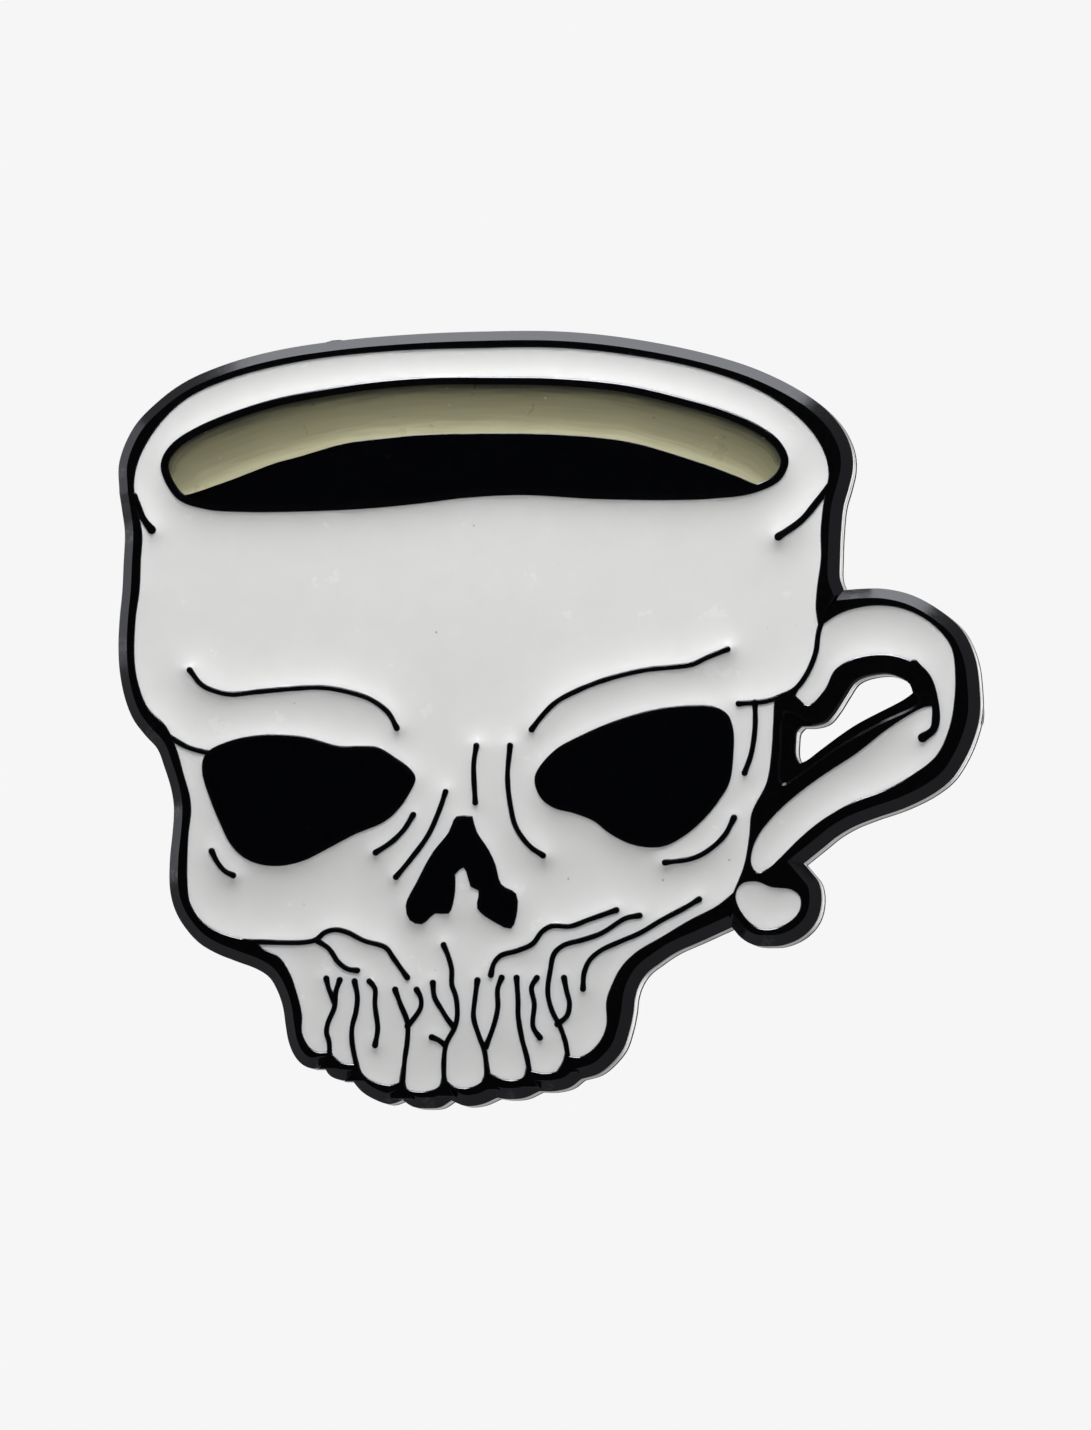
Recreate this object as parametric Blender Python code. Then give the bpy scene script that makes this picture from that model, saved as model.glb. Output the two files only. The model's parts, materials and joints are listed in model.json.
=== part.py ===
"""Soft enamel pin in the shape of a skull coffee cup, with two posts and two butterfly clutches.

One struck plate carries a raised border and raised lines, and eight enamel fills lie in its
recesses. Two nail posts are soldered to the flat back, and a butterfly clutch slides on each.
Metres, +Z up as the pin is worn, the face towards -Y, the origin on the flat back midway
between the posts. Artwork points and heights below are in millimetres.
"""

import math

import bmesh
import bpy
from mathutils import Matrix, Vector

MM = 0.001

# Heights in front of the flat back (towards -Y).
FLOOR = 1.10
SHOULDER_EDGE = 1.25
LINE_TOP = 1.60
WHITE_TOP = 1.46
SAGE_TOP = 1.43
BLACK_TOP = 1.53

# Widths in the artwork, and the share of the drawing's height that the pin is struck at.
SHOULDER = 0.38
LINE = 0.20
RIM_LINE = 0.28
RING = 0.30
GAP = 0.02
STEP = 0.75
FINE_STEP = 0.5
STRUCK_HEIGHT = 0.9935
LEAN, TILT = 0.0049, 0.0122

# Posts and clutches: radii, and distances behind the flat back (towards +Y). A clutch's own
# distances are measured from its disc's front face, which lies CLOTH behind the back.
POST_SPACING = 13.0
POST_R = 0.55
POST_TIP = 8.3
HEAD_R = 2.25
HEAD_BACK = 0.32
SEAT_R = 3.05
SEAT_DEPTH = 0.06
CLOTH = 2.4
DISC_R = 5.25
DISC_HOLE_R = 0.75
JAW_CLEAR = 0.03
WING_THICK = 0.30
WING_PIVOT = (1.70, 2.30)
ROUND_STEPS = 28

# The plate's outline as smooth runs, clockwise from the cup's left rim, with a corner where two meet.
OUTLINE = [
    [(-13.45, 3.65), (-13.45, 4.8), (-12.9, 6.1), (-12, 7.05), (-10.95, 7.8), (-9.4, 8.45),
     (-7.5, 8.95), (-5.25, 9.3), (-2.85, 9.5), (-0.45, 9.6), (2.8, 9.6), (5.3, 9.35), (8.1, 8.8),
     (10.05, 8.2), (11.6, 7.45), (12.6, 6.75), (13.25, 6), (13.6, 5.2), (13.65, 4.5),
     (13.5, 3.8), (13.3, 3.1), (13.2, 2.2), (13.15, 1.15), (13.15, 0.45), (13.3, 0)],
    [(13.3, 0), (13.9, 0.05), (14.8, 0.05), (15.85, -0.2), (16.9, -0.8), (17.65, -1.5),
     (18.1, -2.5), (18.25, -3.6), (18.25, -4.6), (18.05, -5.4), (17.7, -6.2), (17.2, -6.95),
     (16.5, -7.5), (15.5, -8), (14.35, -8.4), (13.6, -8.7), (13, -9.05), (12.5, -9.45),
     (12, -9.85), (11.75, -10.05)],
    [(11.75, -10.05), (12, -10.35), (12.3, -10.75), (12.4, -11.3), (12.3, -11.95),
     (12.05, -12.4), (11.6, -12.8), (11, -13.05), (10.5, -13.1), (9.9, -13.05), (9.45, -12.8),
     (9.1, -12.4)],
    [(9.1, -12.4), (8, -12.9), (7, -13.35), (6.4, -13.75), (5.95, -14.1), (5.65, -14.55),
     (5.5, -15.05), (5.45, -15.5), (5.3, -16.2), (5.05, -16.9), (4.6, -17.45), (4.15, -17.8),
     (3.5, -18)],
    [(3.5, -18), (3.1, -18.3), (2.5, -18.45), (1.95, -18.45)],
    [(1.95, -18.45), (1.4, -18.7), (0.8, -18.75), (0.4, -18.7)],
    [(0.4, -18.7), (-0.2, -18.95), (-0.8, -19), (-1.3, -18.8)],
    [(-1.3, -18.8), (-1.7, -19.05), (-2.1, -19.1), (-2.7, -19.05), (-3.1, -18.8)],
    [(-3.1, -18.8), (-3.6, -18.95), (-4.1, -18.8), (-4.6, -18.5), (-4.95, -18.1)],
    [(-4.95, -18.1), (-5.5, -18.05), (-5.8, -17.9), (-6, -17.6)],
    [(-6, -17.6), (-6.35, -17.65), (-6.7, -17.5), (-7, -17.15), (-7.2, -16.65), (-7.3, -16.1),
     (-7.4, -15.4), (-7.6, -14.8), (-7.9, -14.3), (-8.35, -14), (-9.15, -13.7), (-9.9, -13.4),
     (-10.55, -13), (-11.15, -12.3), (-11.45, -11.7), (-11.6, -11), (-11.6, -10), (-11.5, -9),
     (-11.45, -8.4), (-11.45, -7.9), (-11.55, -7.3), (-11.8, -6.5), (-12.05, -5.85),
     (-12.5, -5.35), (-12.95, -4.75), (-13.25, -4), (-13.45, -3), (-13.5, -2), (-13.45, -1),
     (-13.35, 0), (-13.3, 1), (-13.25, 2.2), (-13.35, 3), (-13.45, 3.65)],
]

# The recess for the cup and skull, the handle's recess and the foot curl's recess.
SKULL_RECESS = [
    [(-12.85, 3.1), (-12.95, 3.95), (-12.75, 4.9), (-12.05, 6.1), (-11, 7.1), (-9.35, 7.85),
     (-6.65, 8.5), (-3.4, 8.85), (-0.15, 8.95), (2.8, 8.95), (5.3, 8.7), (8.1, 8.15),
     (10.05, 7.45), (11.35, 6.65), (12.25, 5.75), (12.7, 4.9), (12.8, 4.2), (12.65, 3.45),
     (12.5, 2.2), (12.5, 1.15), (12.35, 0.05), (12.3, -0.7), (12.4, -1.4)],
    [(12.4, -1.4), (12.3, -2.3), (12, -3.05), (11.55, -3.6), (10.75, -4.05)],
    [(10.75, -4.05), (10.7, -5), (10.65, -5.8), (10.45, -7.1), (9.9, -8.2), (9.8, -9.05),
     (9.6, -10.15), (9.2, -11.15)],
    [(9.2, -11.15), (8.65, -11.6), (7.6, -12.15), (6.6, -12.75), (5.6, -13.35), (5.05, -13.9),
     (4.7, -14.55), (4.5, -15.15), (4.5, -16), (4.3, -16.55), (3.9, -17), (3.5, -17.2),
     (3.05, -17.15)],
    [(3.05, -17.15), (2.8, -17.65), (2.25, -17.8), (1.65, -17.7)],
    [(1.65, -17.7), (1.35, -18), (0.8, -18.05), (0.1, -17.75)],
    [(0.1, -17.75), (-0.15, -18.15), (-0.6, -18.35), (-1.1, -18.3), (-1.5, -18)],
    [(-1.5, -18), (-1.75, -18.35), (-2.35, -18.5), (-2.85, -18.4), (-3.05, -18.1)],
    [(-3.05, -18.1), (-3.4, -18.25), (-3.9, -18.2), (-4.4, -17.95), (-4.75, -17.5)],
    [(-4.75, -17.5), (-5.25, -17.45), (-5.75, -17.05)],
    [(-5.75, -17.05), (-6.2, -17.05), (-6.5, -16.85), (-6.75, -16.35), (-6.75, -15.7),
     (-6.95, -14.85), (-7.2, -14.15), (-7.6, -13.55), (-8.25, -13.2), (-8.45, -12.95)],
    [(-8.45, -12.95), (-9.15, -12.85), (-9.9, -12.6), (-10.5, -12.2), (-10.9, -11.55),
     (-11, -10.7), (-10.95, -9.05), (-10.85, -8.2), (-10.9, -7.6), (-11.1, -6.9), (-11.4, -5.85),
     (-11.8, -5), (-12.45, -4.35), (-12.8, -3.5), (-12.95, -2.55), (-12.9, -1.05),
     (-12.75, 0.05), (-12.7, 1.15), (-12.65, 2.1), (-12.85, 3.1)],
]
HANDLE_RECESS = [
    [(12.4, -1.4), (13.3, -0.85), (14.5, -0.6), (15.6, -0.75), (16.6, -1.3), (17.25, -2.1),
     (17.4, -3.05), (17.35, -4.2), (17.15, -5.15), (16.7, -6.1), (15.9, -6.75), (14.85, -7.35),
     (13.55, -7.85), (12.45, -8.5), (11.6, -9.2), (11.05, -9.75), (10.5, -10.25), (10.1, -10.4),
     (9.9, -10.15), (9.9, -9.7), (10.15, -9.05), (10.75, -8.3), (11.45, -7.65), (12.45, -6.9),
     (13.75, -6.05), (15.05, -5.05), (16.25, -4.35), (16.6, -4.3)],
    [(16.6, -4.3), (16.45, -3.3)],
    [(16.45, -3.3), (16, -2.75), (15.05, -2.4), (13.8, -2.5), (13, -2.95), (12.6, -3.7),
     (12, -4.25), (11.55, -3.9)],
    [(11.55, -3.9), (12, -3.05), (12.3, -2.3), (12.4, -1.4)],
]
CURL_RECESS = [
    [(9.3, -11.3), (9.5, -10.85), (10.05, -10.75), (10.6, -10.95), (11.35, -11.05),
     (11.65, -11.3), (11.65, -11.75), (11.35, -12.15), (10.75, -12.45), (10.15, -12.45),
     (9.6, -12), (9.3, -11.3)],
]
HANDLE_HOLE = [
    [(11.8, -5.05), (12.2, -5), (12.65, -4.85), (13, -4.45), (13.35, -3.9), (13.7, -3.4),
     (14.1, -3.2), (14.9, -3.1), (15.4, -3.25), (15.75, -3.5), (15.85, -3.8)],
    [(15.85, -3.8), (15.5, -4.05), (13.7, -5), (12.5, -5.85), (11.9, -6.3), (11.65, -6.4)],
    [(11.65, -6.4), (11.45, -6.1), (11.45, -5.6), (11.55, -5.25), (11.8, -5.05)],
]

# Closed bands: the cup's mouth, the eyes and the nose, each given by its outer edge.
MOUTH = [
    [(-11.95, 4.45), (-11.9, 4.95), (-11.5, 5.5), (-10.65, 6.05), (-9.35, 6.6), (-7.75, 7.1), (-6, 7.45),
     (-3.9, 7.75), (-1.8, 7.9), (0.5, 7.9), (2.8, 7.85), (5.3, 7.6), (7.45, 7.1), (9.1, 6.6),
     (10.3, 6.05), (11.05, 5.45), (11.35, 4.75), (11.05, 4.05), (10.05, 3.55), (8.55, 3.35),
     (6.9, 3.3), (4.2, 3.35), (1.5, 3.5), (-0.65, 3.4), (-2.3, 3.2), (-4.5, 3), (-7.3, 2.9),
     (-8.8, 2.9), (-10.25, 3), (-11.35, 3.4), (-11.95, 4.45)],
]
LEFT_EYE = [
    [(-10.15, -5.9), (-9.35, -5.55), (-8.3, -5.35), (-7.2, -5.35), (-6.45, -5.45), (-5.35, -5.75),
     (-4.5, -5.75), (-3.9, -5.8), (-3.3, -6.15), (-2.7, -6.6), (-2.5, -6.95), (-2.7, -7.45),
     (-3.1, -8.05), (-3.65, -8.55), (-4.8, -9.05), (-5.75, -9.55), (-6.65, -10), (-7.5, -10.2),
     (-8.3, -10.15), (-8.9, -9.9), (-9.4, -9.4), (-9.8, -8.6), (-10.15, -7.75), (-10.45, -6.75),
     (-10.4, -6.2), (-10.15, -5.9)],
]
RIGHT_EYE = [
    [(1.9, -6.9), (2.6, -5.95), (3.65, -5.35), (4.95, -4.8), (6.35, -4.4), (7.7, -4.25),
     (8.55, -4.3), (9.05, -4.6), (9.25, -5.15), (9.25, -6.05), (9.1, -7.1), (8.65, -7.85),
     (8.1, -8.5), (7.45, -9.05), (6.7, -9.45), (6.05, -9.5), (5.35, -9.35), (4.6, -8.95),
     (4.1, -8.55), (3.35, -8.25), (2.6, -8.05), (2.1, -7.65), (1.9, -6.9)],
]
NOSE = [
    [(-0.4, -8.35), (-0.25, -8.9), (0.2, -9.6), (0.45, -10.15), (0.65, -10.85), (1.2, -11.2),
     (1.25, -11.8), (1, -12.5), (0.45, -12.3), (-0.25, -11.75), (-0.2, -11.1), (-0.5, -10.95)],
    [(-0.5, -10.95), (-0.75, -10.25), (-1.05, -10.5)],
    [(-1.05, -10.5), (-1.05, -11.1), (-1.3, -11.95), (-1.8, -11.95), (-2.3, -12.35),
     (-2.75, -12.2), (-2.9, -11.65), (-2.5, -10.8), (-1.9, -9.7), (-1.3, -8.95), (-1, -8.35),
     (-0.4, -8.35)],
]

# The raised line between the sage wall and the coffee, which ends inside the mouth's band.
COFFEE_LINE = [(-11.1, 3.42), (-10.8, 3.5), (-9.9, 3.8), (-8.8, 4.2), (-7.75, 4.6), (-6.65, 4.9),
               (-5.05, 5.35), (-3.9, 5.5), (-2.3, 5.65), (-0.15, 5.7), (2.8, 5.65), (5.3, 5.4),
               (7.45, 4.8), (9.4, 4.1), (10.1, 3.78)]

# Raised lines of the drawing. A line that meets the border starts or ends inside it.
LINES = {
    "left_brow": [(-10.9, -2.95), (-10.45, -3.5), (-9.9, -3.75), (-9.35, -3.85), (-8.3, -3.75),
                  (-7.2, -3.65), (-6, -3.6), (-5.05, -3.75), (-4.15, -4.05), (-3.5, -4.55),
                  (-3.2, -5.1)],
    "right_brow": [(1.8, -5.15), (2.15, -4.7), (2.7, -4.15), (3.65, -3.65), (4.75, -3.25),
                   (6.05, -2.95), (7.05, -2.85), (7.75, -2.75), (8.3, -2.5), (9.05, -2.2)],
    "left_eye_tail": [(-11.9, -5.25), (-11.75, -5.35), (-11, -5.8), (-10.1, -6.05)],
    "bridge_left": [(-0.25, -5.75), (-0.35, -6.45), (-0.3, -7.85)],
    "bridge_right": [(1, -5.75), (0.9, -6.9), (1, -7.95), (1.2, -8.75), (1.7, -9.45), (2.2, -9.8)],
    "nose_crease": [(-1.4, -7.45), (-1.6, -8.05), (-2.05, -9.05), (-2.75, -10), (-3.25, -10.6)],
    "nose_crease_short": [(-2.6, -8.3), (-2.95, -8.85), (-3.4, -9.3), (-4, -9.7)],
    "left_cheek": [(-10.1, -9.65), (-9.9, -10.05), (-9.6, -10.4), (-9.3, -10.55)],
    "right_cheek": [(9.25, -8.4), (8.9, -9.05), (8.3, -9.6), (7.7, -9.9), (6.7, -10.05)],
    "temple": [(12.55, -1.1), (12.4, -1.6), (12.3, -2.3), (12, -3.05), (11.55, -3.65),
               (11.05, -3.9), (10.5, -4.1), (9.45, -4.2)],
    "temple_drop": [(10.05, -4.15), (10.05, -5.05), (9.9, -6.05), (9.65, -6.75)],
    "handle_hook": [(16.35, -3.1), (16.65, -3.85), (16.7, -4.7), (16.6, -5.15), (16.2, -5.5)],
    "left_jaw": [(-8.9, -13), (-6.3, -12.95), (-5.9, -12.65), (-5.5, -12.55), (-5.05, -12.65),
                 (-4.45, -12.95), (-3.65, -13.2), (-3.35, -13.6), (-2.85, -14.3)],
    "left_jaw_short": [(-6.2, -12.95), (-5.75, -13.25), (-5.4, -13.75), (-5.05, -14),
                       (-4.7, -14.05)],
    "gum_1": [(-5.85, -14.35), (-5.75, -14.75), (-5.55, -15.2)],
    "tooth_1": [(-5.35, -14.4), (-5.5, -14.85), (-5.55, -15.4), (-5.8, -16), (-5.85, -16.35),
                (-5.75, -16.7), (-5.75, -17.3)],
    "tooth_2": [(-4.8, -14.45), (-4.7, -15), (-4.75, -15.55), (-4.9, -16.15), (-4.9, -16.7),
                (-4.7, -17.75)],
    "gum_3": [(-4.25, -14.45), (-4.05, -14.7), (-4.05, -15.3), (-3.95, -16.2), (-4.05, -16.8)],
    "tooth_4": [(-3.3, -14.75), (-3.1, -15.3), (-2.85, -15.95), (-2.85, -16.6), (-2.95, -17.3),
                (-3.05, -18.35)],
    "gum_5": [(-2.5, -14.75), (-2.35, -15.05), (-2.35, -15.4), (-2.6, -15.8), (-2.85, -16.1)],
    "gum_6": [(-1.9, -14.5), (-1.85, -15), (-1.6, -15.45), (-1.35, -15.85), (-1.15, -16.1)],
    "tooth_7": [(-1.5, -13.1), (-1.35, -13.45), (-1.2, -14), (-1.2, -14.55), (-1.05, -15),
                (-1, -15.7), (-1.1, -16.15), (-1.4, -16.7), (-1.5, -17.3), (-1.5, -18.25)],
    "gum_7": [(-1.95, -16.5), (-1.7, -16.6), (-1.45, -16.8)],
    "tooth_8": [(-0.25, -14.4), (-0.35, -15.15), (-0.4, -15.75), (-0.2, -16.45), (0, -17),
                (0.1, -17.95)],
    "gum_9": [(0.65, -14.3), (0.5, -14.7), (0.5, -15.4), (0.35, -16.05), (0.05, -16.85)],
    "tooth_10": [(1.2, -14.3), (1.25, -15.15), (1.25, -15.7), (1.4, -16.6), (1.55, -17.15),
                 (1.7, -17.95)],
    "gum_11": [(1.95, -14.3), (1.75, -14.65), (1.85, -15.25), (1.8, -16.1), (2.05, -16.5)],
    "gum_12": [(2.95, -14.3), (3.05, -14.8), (3.15, -15.25), (3.05, -15.7), (2.7, -16)],
    "upper_jaw": [(0.25, -14.2), (0.35, -13.8), (0.6, -13.5), (1.25, -13.3), (1.8, -13.05),
                  (2.15, -12.6), (2.5, -12.4), (3.2, -12.4), (3.9, -12.15), (4.9, -11.8)],
    "jaw_hinge": [(5.75, -12), (5.25, -12.1), (4.35, -12.65), (3.65, -12.9), (2.95, -13.1),
                  (2.6, -13.4), (2.45, -14), (2.35, -14.85), (2.5, -15.5), (2.8, -16.1),
                  (3, -16.7), (3.1, -17.4)],
    "lower_jaw": [(7.95, -11.4), (7.45, -11.7), (6.6, -12.15), (5.75, -12.65), (5.05, -12.95),
                  (4.3, -13.3), (3.9, -13.65), (3.7, -14.1), (3.65, -14.7)],
}
RIM_STROKES = {
    "left_rim_stroke": [(-13.15, 3.6), (-12.9, 3.3), (-12.6, 2.65), (-12.3, 2.25)],
    "right_rim_stroke": [(12.95, 3.95), (12.75, 3.7), (12.4, 3.25), (11.8, 2.55), (10.95, 1.95)],
}


def clear_scene():
    for leftover in list(bpy.data.objects):
        bpy.data.objects.remove(leftover, do_unlink=True)


def material(name, color, roughness, metallic=0.0):
    made = bpy.data.materials.new(name)
    made.use_nodes = True
    shader = made.node_tree.nodes["Principled BSDF"]
    shader.inputs["Base Color"].default_value = (*color, 1)
    shader.inputs["Roughness"].default_value = roughness
    shader.inputs["Metallic"].default_value = metallic
    return made


def place(mesh, name, finish=None, guide=None):
    """Makes an object of a bmesh. A guide collection marks it as a cutter or an operand."""
    data = bpy.data.meshes.new(name)
    bmesh.ops.recalc_face_normals(mesh, faces=mesh.faces)
    mesh.to_mesh(data)
    mesh.free()
    made = bpy.data.objects.new(name, data)
    if guide:
        made.hide_render = True
        made.display_type = "WIRE"
        guide.objects.link(made)
    else:
        data.materials.append(finish)
        bpy.context.scene.collection.objects.link(made)
    return made


def guides(name):
    made = bpy.data.collections.new(name)
    bpy.context.scene.collection.children.link(made)
    return made


def struck(points):
    """Points of the drawing where they lie on the pin's face."""
    return [Vector((x - LEAN * z, z * STRUCK_HEIGHT - TILT * x)) for x, z in points]


def smooth_run(points, step):
    """A centripetal curve through the points, sampled about every step, without its last point."""
    stops = [Vector(p) for p in points]
    stops = [2 * stops[0] - stops[1], *stops, 2 * stops[-1] - stops[-2]]
    if points[0] == points[-1]:
        stops[0], stops[-1] = stops[-3], stops[2]
    sampled = []
    for a, b, c, d in zip(stops, stops[1:], stops[2:], stops[3:]):
        pieces = max(1, round((c - b).length / step))
        sampled += [curve_point(a, b, c, d, i / pieces) for i in range(pieces)]
    return sampled


def curve_point(a, b, c, d, share):
    """The point a share of the way from b to c on the centripetal curve through all four."""
    t1 = (b - a).length ** 0.5
    t2 = t1 + (c - b).length ** 0.5
    t3 = t2 + (d - c).length ** 0.5
    t = t1 + (t2 - t1) * share
    ab = a.lerp(b, t / t1)
    bc = b.lerp(c, (t - t1) / (t2 - t1))
    cd = c.lerp(d, (t - t2) / (t3 - t2))
    return ab.lerp(bc, t / t2).lerp(bc.lerp(cd, (t - t1) / (t3 - t1)), share)


def outline(runs, step=STEP):
    return struck(point for run in runs for point in smooth_run(run, step))


def path(points, step=STEP):
    return smooth_run(points, step) + [Vector(points[-1])]


def offset(points, distance):
    """A closed outline moved sideways: positive grows it, whichever way round it runs."""
    count = len(points)
    area = sum(points[i - 1].cross(points[i]) for i in range(count))
    side = -distance if area > 0 else distance
    moved = []
    for i, point in enumerate(points):
        before = (point - points[i - 1]).normalized()
        after = (points[(i + 1) % count] - point).normalized()
        normal = (before + after).normalized().orthogonal()
        moved.append(point + normal * side / max(normal.dot(before.orthogonal()), 0.5))
    return moved


def line_sides(points, width, step=STEP):
    """The left and right edges of a line of even width, seen along its points."""
    middle = path(points, step)
    left, right = [], []
    for i, point in enumerate(middle):
        along = middle[min(i + 1, len(middle) - 1)] - middle[max(i - 1, 0)]
        across = along.normalized().orthogonal() * width / 2
        left.append(point + across)
        right.append(point - across)
    return left, right


def ribbon(points, width):
    """The outline of a drawn line of even width with round ends."""
    left, right = line_sides(struck(points), width)
    far_end = round_end((left[-1] + right[-1]) / 2, left[-1])
    return left + far_end + right[::-1] + round_end((left[0] + right[0]) / 2, right[0])


def round_end(centre, start, steps=4):
    spoke = start - centre
    return [centre + Matrix.Rotation(-math.pi * i / steps, 2) @ spoke for i in range(1, steps)]


def prism(points, back, front):
    """A closed outline in the XZ plane carried from the height back to the height front."""
    mesh = bmesh.new()
    base = mesh.faces.new([mesh.verts.new((p.x * MM, -back * MM, p.y * MM)) for p in points])
    extrude(mesh, [base], (0, (back - front) * MM, 0))
    return mesh


def extrude(mesh, faces, move):
    grown = bmesh.ops.extrude_face_region(mesh, geom=faces)["geom"]
    moved = [part for part in grown if isinstance(part, bmesh.types.BMVert)]
    bmesh.ops.translate(mesh, verts=moved, vec=move)


def band(points, width, back, front):
    """A closed raised line of even width inside the outline."""
    mesh = bmesh.new()
    for loop in (points, offset(points, -width)):
        corners = [mesh.verts.new((p.x * MM, -back * MM, p.y * MM)) for p in loop]
        for a, b in zip(corners, corners[1:] + corners[:1]):
            mesh.edges.new((a, b))
    bmesh.ops.bridge_loops(mesh, edges=mesh.edges)
    extrude(mesh, list(mesh.faces), (0, (back - front) * MM, 0))
    return mesh


def boolean(part, operation, other):
    """Cuts with, or joins, an object or every object of a collection."""
    made = part.modifiers.new(operation.lower() + "_" + other.name, "BOOLEAN")
    made.operation = operation
    made.solver = "EXACT"
    if isinstance(other, bpy.types.Collection):
        made.operand_type = "COLLECTION"
        made.collection = other
    else:
        made.object = other


def turned(profile, centre_x, behind=0, steps=ROUND_STEPS):
    """A closed ring or a solid turned about the post's axis from (radius, distance behind) points."""
    mesh = bmesh.new()
    ring = [mesh.verts.new((r * MM, y * MM, 0)) for r, y in profile]
    closed = profile[0][0] > 0
    edges = [mesh.edges.new(pair) for pair in zip(ring, ring[1:])]
    if closed:
        edges.append(mesh.edges.new((ring[-1], ring[0])))
    bmesh.ops.spin(mesh, geom=edges, cent=(0, 0, 0), axis=(0, 1, 0), dvec=(0, 0, 0),
                   angle=2 * math.pi, steps=steps, use_merge=True)
    bmesh.ops.remove_doubles(mesh, verts=mesh.verts, dist=1e-7)
    bmesh.ops.translate(mesh, verts=mesh.verts, vec=(centre_x * MM, behind * MM, 0))
    return mesh


def shade_round(made):
    made.data.shade_smooth()
    made.data.set_sharp_from_angle(angle=math.radians(35))
    return made


def build_line_guides():
    """The raised lines, and the same lines a gap wider and taller to clear the enamel with."""
    raised, clearance = guides("raised_lines"), guides("line_clearance")
    drawn = [(name, points, LINE) for name, points in LINES.items()]
    drawn += [(name, points, RIM_LINE) for name, points in RIM_STROKES.items()]
    drawn.append(("coffee_line", COFFEE_LINE, LINE))
    for name, points, width in drawn:
        place(prism(ribbon(points, width), FLOOR - 0.2, LINE_TOP), name, guide=raised)
        if name != "coffee_line":
            wide = ribbon(points, width + 2 * GAP)
            place(prism(wide, FLOOR - 0.1, LINE_TOP + 0.2), name + "_clear", guide=clearance)
    for name, runs, width in (("mouth", MOUTH, RING), ("left_eye", LEFT_EYE, LINE),
                              ("right_eye", RIGHT_EYE, LINE), ("nose", NOSE, LINE)):
        edge = outline(runs, FINE_STEP if name == "nose" else STEP)
        place(band(edge, width, FLOOR - 0.2, LINE_TOP), name + "_band", guide=raised)
        outer = offset(edge, GAP)
        place(prism(outer, FLOOR - 0.1, LINE_TOP + 0.2), name + "_clear", guide=clearance)
    return raised, clearance


def build_plate(raised, finish):
    """The struck plate: a shouldered blank with recesses, the handle's hole and raised lines."""
    blank = prism(outline(OUTLINE), 0, SHOULDER_EDGE)
    blank.faces.ensure_lookup_table()
    front = min(blank.faces, key=lambda face: face.calc_center_median().y)
    bmesh.ops.recalc_face_normals(blank, faces=blank.faces)
    bmesh.ops.inset_region(blank, faces=[front], thickness=SHOULDER * MM,
                           depth=(LINE_TOP - SHOULDER_EDGE) * MM, use_even_offset=True)
    plate = place(blank, "struck_plate", finish)
    recesses = guides("recesses")
    for name, runs in (("skull_recess", SKULL_RECESS), ("handle_recess", HANDLE_RECESS),
                       ("curl_recess", CURL_RECESS)):
        place(prism(outline(runs), FLOOR, LINE_TOP + 0.5), name, guide=recesses)
    hole = prism(outline(HANDLE_HOLE, FINE_STEP), -0.5, LINE_TOP + 0.5)
    place(hole, "handle_hole", guide=recesses)
    for side, x in (("left", -POST_SPACING / 2), ("right", POST_SPACING / 2)):
        seat = [(0, -SEAT_DEPTH), (SEAT_R, -SEAT_DEPTH), (SEAT_R, 0.5), (0, 0.5)]
        place(turned(seat, x), side + "_seat", guide=recesses)
    boolean(plate, "DIFFERENCE", recesses)
    boolean(plate, "UNION", raised)
    return plate


def build_enamel(clearance, white, sage, black):
    floor = FLOOR + GAP
    for name, runs in (("skull_enamel", SKULL_RECESS), ("handle_enamel", HANDLE_RECESS),
                       ("foot_curl_enamel", CURL_RECESS)):
        fill = place(prism(offset(outline(runs), -GAP), floor, WHITE_TOP), name, white)
        if name != "foot_curl_enamel":
            boolean(fill, "DIFFERENCE", clearance)
    for name, runs in (("left_eye_enamel", LEFT_EYE), ("right_eye_enamel", RIGHT_EYE),
                       ("nose_enamel", NOSE)):
        edge = outline(runs, FINE_STEP if name == "nose_enamel" else STEP)
        place(prism(offset(edge, -LINE - GAP), floor, BLACK_TOP), name, black)
    build_cup_enamel(floor, sage, black)


def build_cup_enamel(floor, sage, black):
    """The mouth's two fills: the sage wall above the coffee line and the coffee below it."""
    cup = offset(outline(MOUTH), -RING - GAP)
    upper, lower = line_sides(struck(COFFEE_LINE), LINE + 2 * GAP)
    cutters = guides("coffee_line_sides")
    for name, edge, beyond in (("above", lower, 12), ("below", upper, -4)):
        left, right = edge[0].x - 2, edge[-1].x + 2
        far = [Vector(p) for p in ((right, edge[-1].y), (right, beyond), (left, beyond),
                                   (left, edge[0].y))]
        place(prism(edge + far, floor - 0.2, LINE_TOP + 0.3), name + "_coffee_line", guide=cutters)
    for name, top, finish, cutter in (("sage_enamel", SAGE_TOP, sage, "below_coffee_line"),
                                      ("coffee_enamel", BLACK_TOP, black, "above_coffee_line")):
        fill = place(prism(cup, floor, top), name, finish)
        boolean(fill, "DIFFERENCE", bpy.data.objects[cutter])


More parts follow.
